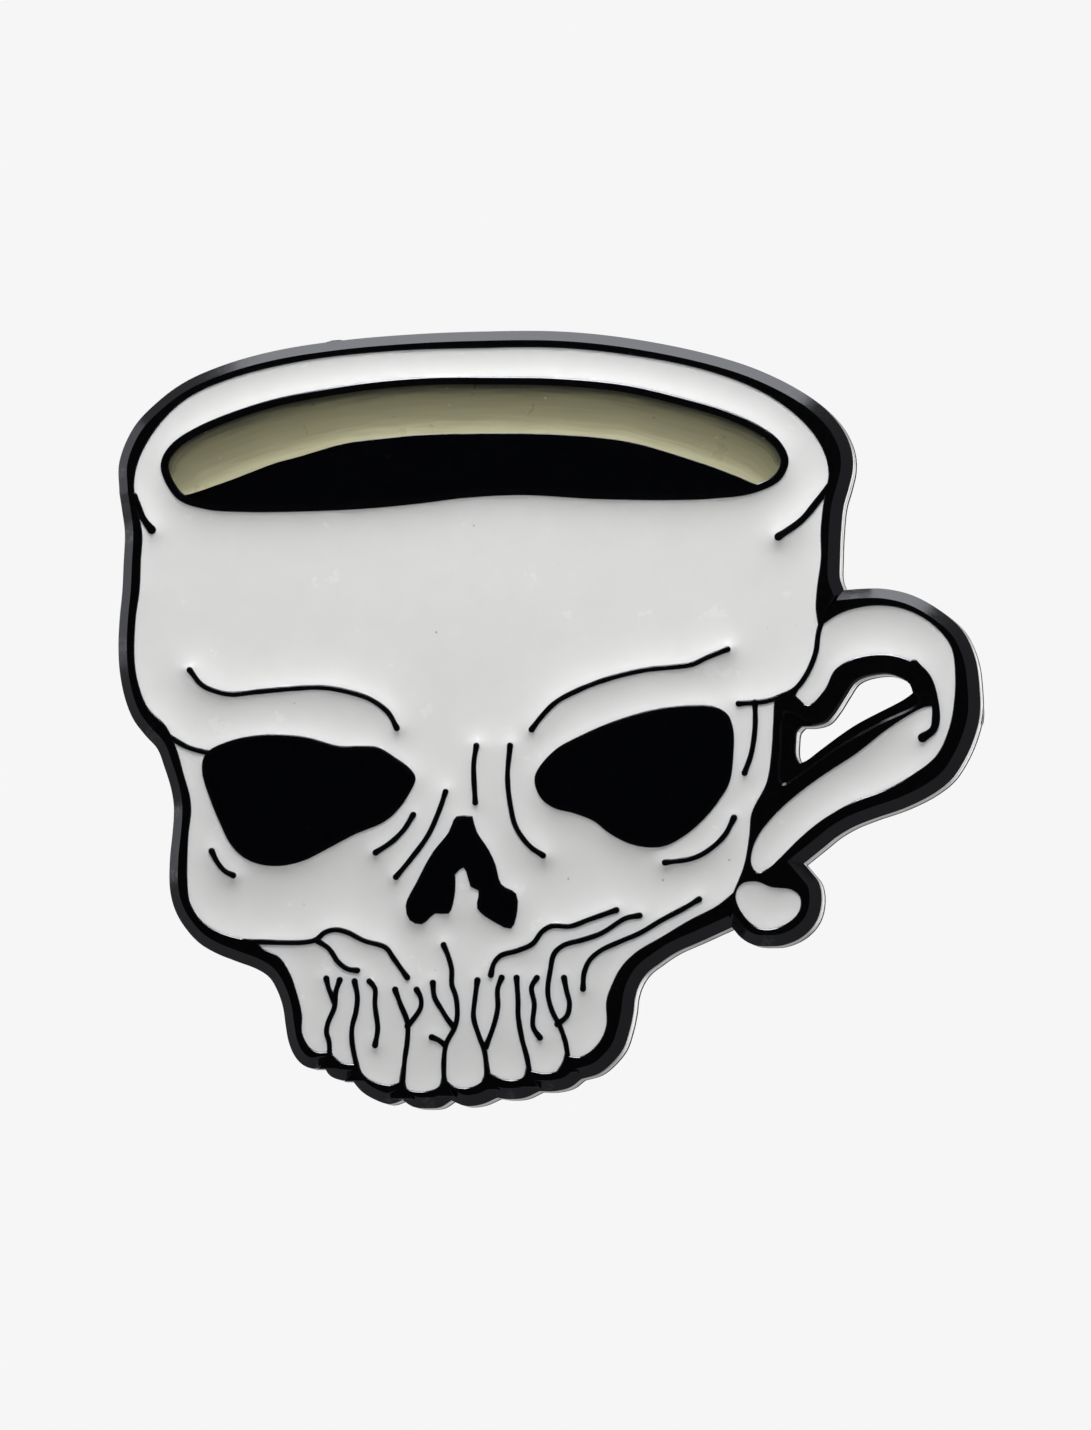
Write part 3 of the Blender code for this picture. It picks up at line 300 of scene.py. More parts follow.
# Raised lines of the drawing. A line that meets the border starts or ends inside it.
LINES = {
    "left_brow": [
        (-10.9, -2.95), (-10.45, -3.5), (-9.9, -3.75), (-9.35, -3.85), (-8.3, -3.75), (-7.2, -3.65),
        (-6, -3.6), (-5.05, -3.75), (-4.15, -4.05), (-3.5, -4.55), (-3.2, -5.1)],
    "right_brow": [
        (1.8, -5.15), (2.15, -4.7), (2.7, -4.15), (3.65, -3.65), (4.75, -3.25), (6.05, -2.95),
        (7.05, -2.85), (7.75, -2.75), (8.3, -2.5), (9.05, -2.2)],
    "left_eye_tail": [(-11.9, -5.25), (-11.75, -5.35), (-11, -5.8), (-10.1, -6.05)],
    "bridge_left": [(-0.25, -5.75), (-0.35, -6.45), (-0.3, -7.85)],
    "bridge_right": [(1, -5.75), (0.9, -6.9), (1, -7.95), (1.2, -8.75), (1.7, -9.45), (2.2, -9.8)],
    "nose_crease": [(-1.4, -7.45), (-1.6, -8.05), (-2.05, -9.05), (-2.75, -10), (-3.25, -10.6)],
    "nose_crease_short": [(-2.6, -8.3), (-2.95, -8.85), (-3.4, -9.3), (-4, -9.7)],
    "left_cheek": [(-10.1, -9.65), (-9.9, -10.05), (-9.6, -10.4), (-9.3, -10.55)],
    "right_cheek": [(9.25, -8.4), (8.9, -9.05), (8.3, -9.6), (7.7, -9.9), (6.7, -10.05)],
    "temple": [
        (12.55, -1.1), (12.4, -1.6), (12.3, -2.3), (12, -3.05), (11.55, -3.65), (11.05, -3.9),
        (10.5, -4.1), (9.45, -4.2)],
    "temple_drop": [(10.05, -4.15), (10.05, -5.05), (9.9, -6.05), (9.65, -6.75)],
    "left_jaw": [
        (-8.9, -13), (-6.3, -12.95), (-5.9, -12.65), (-5.5, -12.55), (-5.05, -12.65), (-4.45, -12.95),
        (-3.65, -13.2), (-3.35, -13.6), (-2.85, -14.3)],
    "left_jaw_short": [(-6.2, -12.95), (-5.75, -13.25), (-5.4, -13.75), (-5.05, -14), (-4.7, -14.05)],
    "gum_1": [(-5.85, -14.35), (-5.75, -14.75), (-5.55, -15.2)],
    "tooth_1": [
        (-5.35, -14.4), (-5.5, -14.85), (-5.55, -15.4), (-5.8, -16), (-5.85, -16.35), (-5.75, -16.7),
        (-5.75, -17.3)],
    "tooth_2": [
        (-4.8, -14.45), (-4.7, -15), (-4.75, -15.55), (-4.9, -16.15), (-4.9, -16.7), (-4.7, -17.75)],
    "gum_3": [(-4.25, -14.45), (-4.05, -14.7), (-4.05, -15.3), (-3.95, -16.2), (-4.05, -16.8)],
    "tooth_4": [
        (-3.3, -14.75), (-3.1, -15.3), (-2.85, -15.95), (-2.85, -16.6), (-2.95, -17.3), (-3.05, -18.35)],
    "gum_5": [(-2.5, -14.75), (-2.35, -15.05), (-2.35, -15.4), (-2.6, -15.8), (-2.85, -16.1)],
    "gum_6": [(-1.9, -14.5), (-1.85, -15), (-1.6, -15.45), (-1.35, -15.85), (-1.15, -16.1)],
    "tooth_7": [
        (-1.5, -13.1), (-1.35, -13.45), (-1.2, -14), (-1.2, -14.55), (-1.05, -15), (-1, -15.7),
        (-1.1, -16.15), (-1.4, -16.7), (-1.5, -17.3), (-1.5, -18.25)],
    "gum_7": [(-1.95, -16.5), (-1.7, -16.6), (-1.45, -16.8)],
    "tooth_8": [(-0.25, -14.4), (-0.35, -15.15), (-0.4, -15.75), (-0.2, -16.45), (0, -17), (0.1, -17.95)],
    "gum_9": [(0.65, -14.3), (0.5, -14.7), (0.5, -15.4), (0.35, -16.05), (0.05, -16.85)],
    "tooth_10": [
        (1.2, -14.3), (1.25, -15.15), (1.25, -15.7), (1.4, -16.6), (1.55, -17.15), (1.7, -17.95)],
    "gum_11": [(1.95, -14.3), (1.75, -14.65), (1.85, -15.25), (1.8, -16.1), (2.05, -16.5)],
    "gum_12": [(2.95, -14.3), (3.05, -14.8), (3.15, -15.25), (3.05, -15.7), (2.7, -16)],
    "upper_jaw": [
        (0.25, -14.2), (0.35, -13.8), (0.6, -13.5), (1.25, -13.3), (1.8, -13.05), (2.15, -12.6),
        (2.5, -12.4), (3.2, -12.4), (3.9, -12.15), (4.9, -11.8)],
    "jaw_hinge": [
        (5.75, -12), (5.25, -12.1), (4.35, -12.65), (3.65, -12.9), (2.95, -13.1), (2.6, -13.4),
        (2.45, -14), (2.35, -14.85), (2.5, -15.5), (2.8, -16.1), (3, -16.7), (3.1, -17.4)],
    "lower_jaw": [
        (7.95, -11.4), (7.45, -11.7), (6.6, -12.15), (5.75, -12.65), (5.05, -12.95), (4.3, -13.3),
        (3.9, -13.65), (3.7, -14.1), (3.65, -14.7)],
}

# The thick hook at the handle's end, and the low black ground round the hole.
HANDLE_HOOK = [
    (15.9, -2.75), (16.35, -3.2), (16.6, -3.85), (16.7, -4.6), (16.6, -5.15), (16.2, -5.45),
]
HANDLE_LOW = [
    [(16.15, -4.15), (14.6, -5), (13.2, -5.8), (12.2, -6.5), (11.35, -7.1), (11.02, -7.22),
     (10.87, -6.95), (10.9, -6), (10.95, -4.9), (11.1, -4.45), (11.5, -4.5), (11.9, -4.75), (12.6, -5.3),
     (14.2, -4.4), (15.9, -3.75), (16.15, -4.15)],
]

# Black peaks between the tooth tips, as (foot, height), and notches pressed into the slope, as
# (start, end, width, depth).
CUSPS = [((3.05, -17.3), 0.5), ((1.62, -17.85), 0.6), ((0.1, -17.95), 0.75), ((-1.5, -18.2), 0.6),
         ((-3.05, -18.3), 0.8), ((-4.75, -17.65), 0.5), ((-5.75, -17.2), 0.4)]
CREASES = [((13.45, 0.2), (12.38, -1.15), 0.42, 0.34), ((11.95, -10.05), (11.0, -9.85), 0.34, 0.26),
           ((8.98, -12.55), (9.2, -11.55), 0.34, 0.28)]

# Slivers of metal that the trimming left on the edge, and two strokes that leave the border.
FLASH = [
    [(18, -2.7), (18.18, -3.2), (18.26, -4), (18.28, -4.6), (18.18, -4.95), (17.9, -4.9), (17.7, -3.8),
     (18, -2.7)],
    [(-6.15, 9.1), (-5.95, 9.33), (-5.6, 9.4), (-5.3, 9.38), (-5.2, 9.2), (-6.15, 9.1)],
]
RIM_STROKES = {
    "left_rim_stroke": [(-12.98, 3.5), (-12.86, 3.25), (-12.6, 2.65), (-12.3, 2.25)],
    "right_rim_stroke": [(12.95, 3.95), (12.75, 3.7), (12.4, 3.25), (11.8, 2.55), (10.95, 1.95)],
}
STROKES = [(name, points, LINE) for name, points in LINES.items()]
STROKES += [(name, points, RIM_LINE) for name, points in RIM_STROKES.items()]
STROKES += [("handle_hook", HANDLE_HOOK, HOOK)]
BANDS = (("mouth", MOUTH, RING, STEP), ("left_eye", LEFT_EYE, LINE, STEP),
         ("right_eye", RIGHT_EYE, LINE, STEP), ("nose", NOSE, LINE, NOSE_STEP))


def curve_point(a, b, c, d, share):
    """The point a share of the way from b to c on the centripetal curve through all four."""
    t1 = (b - a).length ** 0.5
    t2 = t1 + (c - b).length ** 0.5
    t3 = t2 + (d - c).length ** 0.5
    t = t1 + (t2 - t1) * share
    ab = a.lerp(b, t / t1)
    bc = b.lerp(c, (t - t1) / (t2 - t1))
    cd = c.lerp(d, (t - t2) / (t3 - t2))
    return ab.lerp(bc, t / t2).lerp(bc.lerp(cd, (t - t1) / (t3 - t1)), share)


def struck(points):
    """Points of the drawing where they lie on the pin's face."""
    return [Vector((x - LEAN * z, z * STRUCK_HEIGHT - TILT * x)) for x, z in points]


def smooth_run(points, step):
    """A curve through the points, sampled about every step, without its last point."""
    stops = [Vector(p) for p in points]
    stops = [2 * stops[0] - stops[1], *stops, 2 * stops[-1] - stops[-2]]
    if points[0] == points[-1]:
        stops[0], stops[-1] = stops[-3], stops[2]
    sampled = []
    for a, b, c, d in zip(stops, stops[1:], stops[2:], stops[3:]):
        pieces = max(1, round((c - b).length / step))
        sampled += [curve_point(a, b, c, d, i / pieces) for i in range(pieces)]
    return sampled


def outline(runs, step=STEP):
    return struck(point for run in runs for point in smooth_run(run, step))


def offset(points, distance):
    """A closed outline moved sideways: positive grows it, whichever way round it runs."""
    count = len(points)
    area = sum(points[i - 1].cross(points[i]) for i in range(count))
    side = -distance if area > 0 else distance
    moved = []
    for i, point in enumerate(points):
        before = (point - points[i - 1]).normalized()
        after = (points[(i + 1) % count] - point).normalized()
        normal = (before + after).normalized().orthogonal()
        moved.append(point + normal * side / max(normal.dot(before.orthogonal()), 0.5))
    return moved


def line_sides(points, width):
    """The left and right edges of a drawn line, whose width wavers and swells at its ends."""
    middle = smooth_run(points, STEP) + [Vector(points[-1])]
    left, right = [], []
    for i, point in enumerate(middle):
        along = middle[min(i + 1, len(middle) - 1)] - middle[max(i - 1, 0)]
        to_end = min((point - middle[0]).length, (point - middle[-1]).length)
        swell = 1 + KNOB * math.exp(-(to_end / KNOB_REACH) ** 2)
        swell += HAND_WOBBLE * noise.noise((point.x * 1.9, point.y * 1.9, 3.0))
        across = along.normalized().orthogonal() * width * swell / 2
        left.append(point + across)
        right.append(point - across)
    return left, right


def line_strip(points, width):
    """The outline of a drawn line with round ends."""
    left, right = line_sides(struck(points), width)
    strip = list(left)
    for start, end in ((left[-1], right[-1]), (right[0], left[0])):
        centre = (start + end) / 2
        strip += [centre + Matrix.Rotation(-math.pi * i / 8, 2) @ (start - centre)
                  for i in range(1, 8)]
        strip += right[::-1] if start is left[-1] else []
    return strip


def ring_forward(mesh, ring, points, height):
    """Carries a ring of corners forward to a new outline at a height in front of the back."""
    edges = [mesh.edges.get((a, b)) for a, b in zip(ring, ring[1:] + ring[:1])]
    grown = bmesh.ops.extrude_edge_only(mesh, edges=edges)["geom"]
    fresh = {part for part in grown if isinstance(part, bmesh.types.BMVert)}
    above = {}
    for corner in fresh:
        for edge in corner.link_edges:
            if edge.other_vert(corner) not in fresh:
                above[edge.other_vert(corner)] = corner
    ring = [above[corner] for corner in ring]
    for corner, point in zip(ring, points):
        corner.co = (point.x * MM, -height * MM, point.y * MM)
    return ring


def tiered(points, tiers):
    """A closed outline carried forward through tiers of (height, growth), closed at both ends."""
    mesh = bmesh.new()
    first = offset(points, tiers[0][1])
    ring = [mesh.verts.new((p.x * MM, -tiers[0][0] * MM, p.y * MM)) for p in first]
    mesh.faces.new(ring)
    for height, growth in tiers[1:]:
        ring = ring_forward(mesh, ring, offset(points, growth) if growth else points, height)
    mesh.faces.new(ring)
    return mesh


def raised_band(points, width):
    """A closed raised line of even width inside an outline, with soft top edges."""
    tiers = [(FLOOR - 0.2, 0), (LINE_TOP - SOFT_EDGE, 0), (LINE_TOP - 0.3 * SOFT_EDGE, 0.3 * SOFT_EDGE),
             (LINE_TOP, SOFT_EDGE)]
    mesh, rings = bmesh.new(), []
    for start, way in ((points, -1), (offset(points, -width), 1)):
        ring = [mesh.verts.new((p.x * MM, -tiers[0][0] * MM, p.y * MM)) for p in start]
        loop = [mesh.edges.new(pair) for pair in zip(ring, ring[1:] + ring[:1])]
        rings.append([ring, loop, start, way])
    bmesh.ops.bridge_loops(mesh, edges=rings[0][1] + rings[1][1])
    tops = []
    for ring, loop, start, way in rings:
        for height, growth in tiers[1:]:
            ring = ring_forward(mesh, ring, offset(start, way * growth) if growth else start, height)
        tops += [mesh.edges.get((a, b)) for a, b in zip(ring, ring[1:] + ring[:1])]
    bmesh.ops.bridge_loops(mesh, edges=tops)
    return mesh


def place(mesh, name, group=None):
    """Makes an object of a bmesh. One in a group is a tool for a Boolean."""
    data = bpy.data.meshes.new(name)
    bmesh.ops.recalc_face_normals(mesh, faces=mesh.faces)
    mesh.to_mesh(data)
    mesh.free()
    made = bpy.data.objects.new(name, data)
    (group or bpy.context.scene.collection).objects.link(made)
    return made


def tools(name):
    made = bpy.data.collections.new(name)
    bpy.context.scene.collection.children.link(made)
    return made


def combine(part, operation, group, keep=False):
    """Cuts with, joins or keeps what lies in the tools of a group, then throws the tools away unless told to
    keep them.
    """
    step = part.modifiers.new(operation.lower(), "BOOLEAN")
    step.operation, step.solver = operation, "MANIFOLD"
    step.operand_type, step.collection = "COLLECTION", group
    graph = bpy.context.evaluated_depsgraph_get()
    made = bpy.data.meshes.new_from_object(part.evaluated_get(graph))
    part.modifiers.clear()
    part.data = made
    if not keep:
        discard(group)


def discard(group):
    for tool in list(group.objects):
        bpy.data.objects.remove(tool, do_unlink=True)
    bpy.data.collections.remove(group)


def crease(start, end, width, depth):
    """A wedge that cuts a valley in the face, wide and deep at its start and closed at its end."""
    start, end = struck([start, end])
    across = (end - start).normalized().orthogonal() * width / 2
    above = LINE_TOP + 0.06
    mesh = bmesh.new()
    for point, height in ((start + across, above), (start - across, above), (start, above - depth),
                          (end, above), (end + across * 0.1, above + 0.05)):
        mesh.verts.new((point.x * MM, -height * MM, point.y * MM))
    bmesh.ops.convex_hull(mesh, input=mesh.verts)
    return mesh


def cusp(foot, reach):
    """The outline of a black peak between two teeth, with hollow sides."""
    foot = Vector(foot)
    side = [(0.44, -0.5), (0.24, -0.2), (0.15, 0), (0.10, 0.4 * reach), (0.05, 0.8 * reach)]
    left = [foot + Vector((-x, z)) for x, z in side]
    right = [foot + Vector((x, z)) for x, z in side[::-1]]
    return struck([*left, foot + Vector((0, reach)), *right])


def disc_shape(x, radius, corners=96):
    turn = math.tau / corners
    return [Vector((x + radius * math.cos(i * turn), radius * math.sin(i * turn))) for i in range(corners)]


soft_top = [(FLOOR - 0.2, 0), (LINE_TOP - SOFT_EDGE, 0), (LINE_TOP - 0.3 * SOFT_EDGE, -0.3 * SOFT_EDGE),
            (LINE_TOP, -SOFT_EDGE)]
soft_cut = [(FLOOR, 0), (LINE_TOP - SOFT_EDGE, 0), (LINE_TOP - 0.3 * SOFT_EDGE, 0.3 * SOFT_EDGE),
            (LINE_TOP + 0.01, SOFT_EDGE + 0.01), (LINE_TOP + 0.3, SOFT_EDGE + 0.01)]
cutters, raised = tools("recess_tools"), tools("line_tools")
for name, runs in (("skull", SKULL_RECESS), ("handle", HANDLE_RECESS), ("curl", CURL_RECESS)):
    place(tiered(outline(runs), soft_cut), name + "_recess", cutters)
place(tiered(outline(HANDLE_HOLE), [(-0.3, 0), (LINE_TOP - 0.03, 0), (LINE_TOP + 0.01, 0.04),
                                    (LINE_TOP + 0.3, 0.04)]), "handle_hole", cutters)
place(tiered(outline(HANDLE_LOW), [(LOWERED, -0.10), (LINE_TOP, 0), (LINE_TOP + 0.3, 0.02)]),
      "handle_low", cutters)
for i, shape in enumerate(CREASES):
    place(crease(*shape), "crease_%d" % i, cutters)
for side, x in SIDES:
    place(tiered(disc_shape(x, SEAT_R), [(-0.3, 0), (SEAT_DEPTH, 0)]), side + "_seat", cutters)
for name, points, width in [*STROKES, ("coffee_line", COFFEE_LINE, LINE)]:
    place(tiered(line_strip(points, width), soft_top), name, raised)
for i, (foot, reach) in enumerate(CUSPS):
    place(tiered(cusp(foot, reach), [(FLOOR - 0.2, 0), (LINE_TOP - SOFT_EDGE, 0), (LINE_TOP, -SOFT_EDGE)]),
          "cusp_%d" % i, raised)
for i, points in enumerate(FLASH):
    place(tiered(outline([points], 0.2), [(0.02, -0.03), (0.08, 0), (0.42, 0), (0.5, -0.05)]),
          "flash_%d" % i, raised)
for name, runs, width, step in BANDS:
    place(raised_band(outline(runs, step), width), name + "_ring", raised)
plate = place(tiered(outline(OUTLINE), [(0, -0.05), (0.05, 0), (SHOULDER_EDGE - 0.02, 0),
                                        (SHOULDER_EDGE, -0.02), (LINE_TOP, -SHOULDER)]), "pin_plate")
combine(plate, "DIFFERENCE", cutters)
combine(plate, "UNION", raised)

plate.data.materials.clear()
for face in plate.data.polygons:
    steep, height = abs(face.normal.y) < 0.35, -face.center.y
    face.material_index = 1 if steep and height < SHOULDER_EDGE * MM else 2 if face.normal.y > 0.6 else 0
plate.data.shade_smooth()
plate.data.set_sharp_from_angle(angle=math.radians(22))


def effect(name, inputs, outputs):
    """An empty shader node group with its sockets and its input and output nodes."""
    made = bpy.data.node_groups.new(name, "ShaderNodeTree")
    for label, value in inputs.items():
        kind = "NodeSocketColor" if isinstance(value, tuple) else "NodeSocketFloat"
        made.interface.new_socket(label, in_out="INPUT", socket_type=kind).default_value = value
    for label, kind in outputs.items():
        made.interface.new_socket(label, in_out="OUTPUT", socket_type=kind)
    return made, made.nodes.new("NodeGroupInput"), made.nodes.new("NodeGroupOutput")


def steps(tree, value, low, high, bottom=0.0, top=1.0):
    """A smooth step of a value from bottom to top between low and high."""
    made = add(tree, "MapRange", {"interpolation_type": "SMOOTHSTEP"}, Value=value, From_Min=low,
               From_Max=high, To_Min=bottom, To_Max=top)
    return made.outputs["Result"]


def sized(tree, entry):
    """Where a pattern is read, and how often it repeats for the group's Size in millimetres."""
    often = value_of(tree, "DIVIDE", 1000.0, entry.outputs["Size"])
    return {"Vector": add(tree, "TexCoord").outputs["Object"], "Scale": often}


# Grain: a fine unevenness of the surface, for roughness and for a bump.
grain, entry, result = effect("fine_grain", {"Size": 0.2, "Low": 0.2, "High": 0.3},
                              {"Value": "NodeSocketFloat", "Height": "NodeSocketFloat"})
clouds = add(grain, "TexNoise", Detail=3.0, Roughness=0.6, **sized(grain, entry))
level = add(grain, "MapRange", Value=clouds.outputs["Fac"], From_Min=0.3, From_Max=0.7,
            To_Min=entry.outputs["Low"], To_Max=entry.outputs["High"])
grain.links.new(level.outputs["Result"], result.inputs["Value"])
grain.links.new(clouds.outputs["Fac"], result.inputs["Height"])

# Specks: a few tiny spots of dust or scuffing, as a mask.
specks, entry, result = effect("specks", {"Size": 0.5, "Amount": 0.1}, {"Mask": "NodeSocketFloat"})
cells = add(specks, "TexVoronoi", Randomness=1.0, **sized(specks, entry))
fine = add(specks, "TexNoise", Detail=2.0, **sized(specks, entry))
near = steps(specks, cells.outputs["Distance"], 0.05, 0.18, 1.0, 0.0)
draw = add(specks, "SeparateColor", Color=cells.outputs["Color"]).outputs[0]
chosen = value_of(specks, "LESS_THAN", draw, entry.outputs["Amount"])
ragged = steps(specks, fine.outputs["Fac"], 0.35, 0.6)
spots = value_of(specks, "MULTIPLY", value_of(specks, "MULTIPLY", near, chosen), ragged)
specks.links.new(spots, result.inputs["Mask"])

# Wear: bright metal where an edge stands out, broken up by the grain.
wear, entry, result = effect("edge_wear", {"Size": 0.3, "Amount": 0.5}, {"Mask": "NodeSocketFloat"})
broken = add(wear, "TexNoise", Detail=4.0, Roughness=0.7, **sized(wear, entry))
proud = steps(wear, add(wear, "NewGeometry").outputs["Pointiness"], 0.52, 0.62)
rubbed = value_of(wear, "MULTIPLY", proud, steps(wear, broken.outputs["Fac"], 0.42, 0.62))
rubbed = value_of(wear, "MULTIPLY", rubbed, entry.outputs["Amount"])
wear.links.new(rubbed, result.inputs["Mask"])


def group(tree, shared, **inputs):
    made = tree.nodes.new("ShaderNodeGroup")
    made.node_tree = shared
    for label, value in inputs.items():
        made.inputs[label].default_value = value
    return made.outputs


def finish(name, metallic):
    """A new material and its node tree and shader."""
    made = bpy.data.materials.new(name)
    made.use_nodes = True
    shader = made.node_tree.nodes["Principled BSDF"]
    shader.inputs["Metallic"].default_value = metallic
    shader.inputs["IOR"].default_value = 1.5
    return made, made.node_tree, shader


def dress(tree, shader, tone, texture, height, depth):
    """Links a finish's colour, its roughness and a bump of a depth in millimetres."""
    bump = add(tree, "Bump", Height=height, Distance=depth * MM, Strength=1.0)
    tree.links.new(tone, shader.inputs["Base Color"])
    tree.links.new(texture["Value"], shader.inputs["Roughness"])
    tree.links.new(bump.outputs[0], shader.inputs["Normal"])


black_nickel, tree, shader = finish("black_nickel", 1.0)
texture = group(tree, grain, Size=0.22, Low=0.15, High=0.22)
rub = group(tree, wear, Size=0.16, Amount=0.25)["Mask"]
spots = group(tree, specks, Size=0.5, Amount=0.035)["Mask"]
tone = blended(tree, rub, (0.086, 0.088, 0.095, 1), (0.36, 0.36, 0.36, 1))
tone = blended(tree, spots, tone, (0.3, 0.3, 0.3, 1))
dress(tree, shader, tone, texture, texture["Height"], 0.0015)

trimmed_edge, tree, shader = finish("trimmed_edge", 1.0)
texture = group(tree, grain, Size=0.5, Low=0.24, High=0.36)
position = add(tree, "TexCoord").outputs["Object"]
sheared = add(tree, "Mapping", Vector=position, Scale=(260, 7000, 260)).outputs[0]
layers = add(tree, "TexNoise", Vector=sheared, Scale=1.0, Detail=2.0, Roughness=0.6).outputs["Fac"]
depth = add(tree, "SeparateXYZ", Vector=position).outputs["Y"]
back_line = steps(tree, depth, -0.36 * MM, -0.26 * MM)
front_line = steps(tree, depth, -1.06 * MM, -1.14 * MM)
lines = value_of(tree, "MAXIMUM", back_line, front_line)
tone = blended(tree, steps(tree, layers, 0.40, 0.60), (0.16, 0.16, 0.162, 1), (0.62, 0.62, 0.61, 1))
tone = blended(tree, lines, tone, (0.012, 0.012, 0.012, 1))
tinted = blended(tree, lines, (0.85, 0.85, 0.85, 1), (0.06, 0.06, 0.06, 1))
tree.links.new(tinted, shader.inputs["Specular Tint"])
dress(tree, shader, tone, texture, layers, 0.004)

blasted_back, tree, shader = finish("blasted_back", 1.0)
texture = group(tree, grain, Size=0.12, Low=0.36, High=0.52)
spots = group(tree, specks, Size=1.1, Amount=0.2)["Mask"]
tone = blended(tree, spots, (0.17, 0.172, 0.182, 1), (0.34, 0.34, 0.34, 1))
dress(tree, shader, tone, texture, texture["Height"], 0.02)

for made in (black_nickel, trimmed_edge, blasted_back):
    plate.data.materials.append(made)
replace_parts(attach(plate, "pin"), "struck_plate")

# The enamel: liquid colour poured into each recess and baked. It shrinks as it cures, so each
# fill lies below the lines and climbs the metal in a narrow rim wherever it touches it. The
# climb follows the stiffness of a liquid skin, so narrow gaps between two lines stand higher.
CELL, OVERLAP = 0.11, 0.02
CLIMB_WIDTH = 0.62
WHITE_TOP, SAGE_TOP, BLACK_TOP = 1.30, 1.33, 1.6005
WHITE_CLIMB, SAGE_CLIMB = 0.25, 0.20
RELAXING = 140


def poured(name, cell, top, climb, cut_by=None, keep_side=None):
    """One fill: a fine slab kept inside its cell, cut by the lines, with its rim drawn up."""
    xs, zs = [p.x for p in cell], [p.y for p in cell]
    width, height = max(xs) - min(xs) + 0.3, max(zs) - min(zs) + 0.3
    mesh = bmesh.new()
    bmesh.ops.create_grid(mesh, x_segments=round(width / CELL), y_segments=round(height / CELL), size=0.5)
    shape = Matrix.Diagonal((width * MM, height * MM, 1, 1))
    centre = ((min(xs) + max(xs)) / 2 * MM, -top * MM, (min(zs) + max(zs)) / 2 * MM)
    stand = Matrix.Translation(centre) @ Matrix.Rotation(math.pi / 2, 4, "X") @ shape
    bmesh.ops.transform(mesh, matrix=stand, verts=mesh.verts)
    edges = [edge for edge in mesh.edges if edge.is_boundary]
    grown = bmesh.ops.extrude_edge_only(mesh, edges=edges)["geom"]
    back = [part for part in grown if isinstance(part, bmesh.types.BMVert)]
    bmesh.ops.translate(mesh, verts=back, vec=(0, (top - FLOOR + 0.03) * MM, 0))
    bmesh.ops.contextual_create(mesh, geom=[e for e in mesh.edges if e.is_boundary])
    fill = place(mesh, name)
    inside = tools(name + "_cell")
    place(tiered(cell, [(FLOOR - 0.01, 0), (LINE_TOP + 0.2, 0)]), name + "_cell_shape", inside)
    combine(fill, "INTERSECT", inside)
    if keep_side:
        side = tools(name + "_side")
        place(tiered(keep_side, [(FLOOR - 0.2, 0), (LINE_TOP + 0.3, 0)]), name + "_side_shape", side)
        combine(fill, "DIFFERENCE", side)
    if cut_by:
        combine(fill, "DIFFERENCE", cut_by, keep=True)
    draw_up(fill, top, climb)
    return fill


def draw_up(fill, top, climb):
    """Lifts the top of a fill where it touches metal, and stores how high as the attribute rim."""
    mesh = bmesh.new()
    mesh.from_mesh(fill.data)
    bmesh.ops.remove_doubles(mesh, verts=mesh.verts, dist=1e-7)
    bmesh.ops.triangulate(mesh, faces=[face for face in mesh.faces if len(face.verts) > 4])
    mesh.verts.index_update()
    level = -top * MM
    skin = [abs(vert.co.y - level) < 1e-6 for vert in mesh.verts]
    wall = [skin[v.index] and any(abs(f.normal.y) < 0.5 for f in v.link_faces) for v in mesh.verts]
    tree = KDTree(sum(wall))
    for vert in mesh.verts:
        if wall[vert.index]:
            tree.insert(vert.co, vert.index)
    tree.balance()
    lift = np.array([math.exp(-tree.find(v.co)[2] / (CLIMB_WIDTH * MM)) if skin[v.index] else 0.0
                     for v in mesh.verts])
    pairs = np.array([(e.verts[0].index, e.verts[1].index) for e in mesh.edges
                      if skin[e.verts[0].index] and skin[e.verts[1].index]])
    length = np.array([e.calc_length() / MM for e in mesh.edges
                       if skin[e.verts[0].index] and skin[e.verts[1].index]])
    pull = 1 / np.maximum(length, 0.02)
    fixed, count = np.array(wall), len(lift)
    total = np.bincount(pairs[:, 0], pull, count) + np.bincount(pairs[:, 1], pull, count)
    total = np.maximum(total, 1e-9) * (1 + 0.25 * (CELL / CLIMB_WIDTH) ** 2)
    for _ in range(RELAXING):
        nearby = np.bincount(pairs[:, 0], pull * lift[pairs[:, 1]], count)
        nearby += np.bincount(pairs[:, 1], pull * lift[pairs[:, 0]], count)
        lift = np.where(fixed, 1.0, nearby / total)
    lift = np.where(skin, lift, 0.0)
    for vert in mesh.verts:
        if skin[vert.index]:
            drift = noise.noise(vert.co * 700) * 0.006 + noise.noise(vert.co * 2600) * 0.0018
            vert.co.y -= (climb * lift[vert.index] + drift * (1 - lift[vert.index])) * MM
    mesh.to_mesh(fill.data)
    mesh.free()
    rim = fill.data.attributes.new("rim", "FLOAT", "POINT")
    rim.data.foreach_set("value", lift)
    fill.data.shade_smooth()
    fill.data.set_sharp_from_angle(angle=math.radians(50))


def painted_shade_share(fill, upper_edge, lower_edge):
    """Stores how far a point lies from the upper edge towards the lower one, as the attribute down, which
    sets the sage's painted shade and painted light.
    """
    edges = []
    for points in (upper_edge, lower_edge):
        run = [a.lerp(b, i / 12) for a, b in zip(points, points[1:]) for i in range(12)]
        tree = KDTree(len(run))
        for i, point in enumerate(run):
            tree.insert((point.x, point.y, 0), i)
        tree.balance()
        edges.append(tree)
    shares = []
    for vert in fill.data.vertices:
        spot = (vert.co.x / MM, vert.co.z / MM, 0)
        above, below = (tree.find(spot)[2] for tree in edges)
        shares.append(above / max(above + below, 1e-6))
    fill.data.attributes.new("down", "FLOAT", "POINT").data.foreach_set("value", shares)


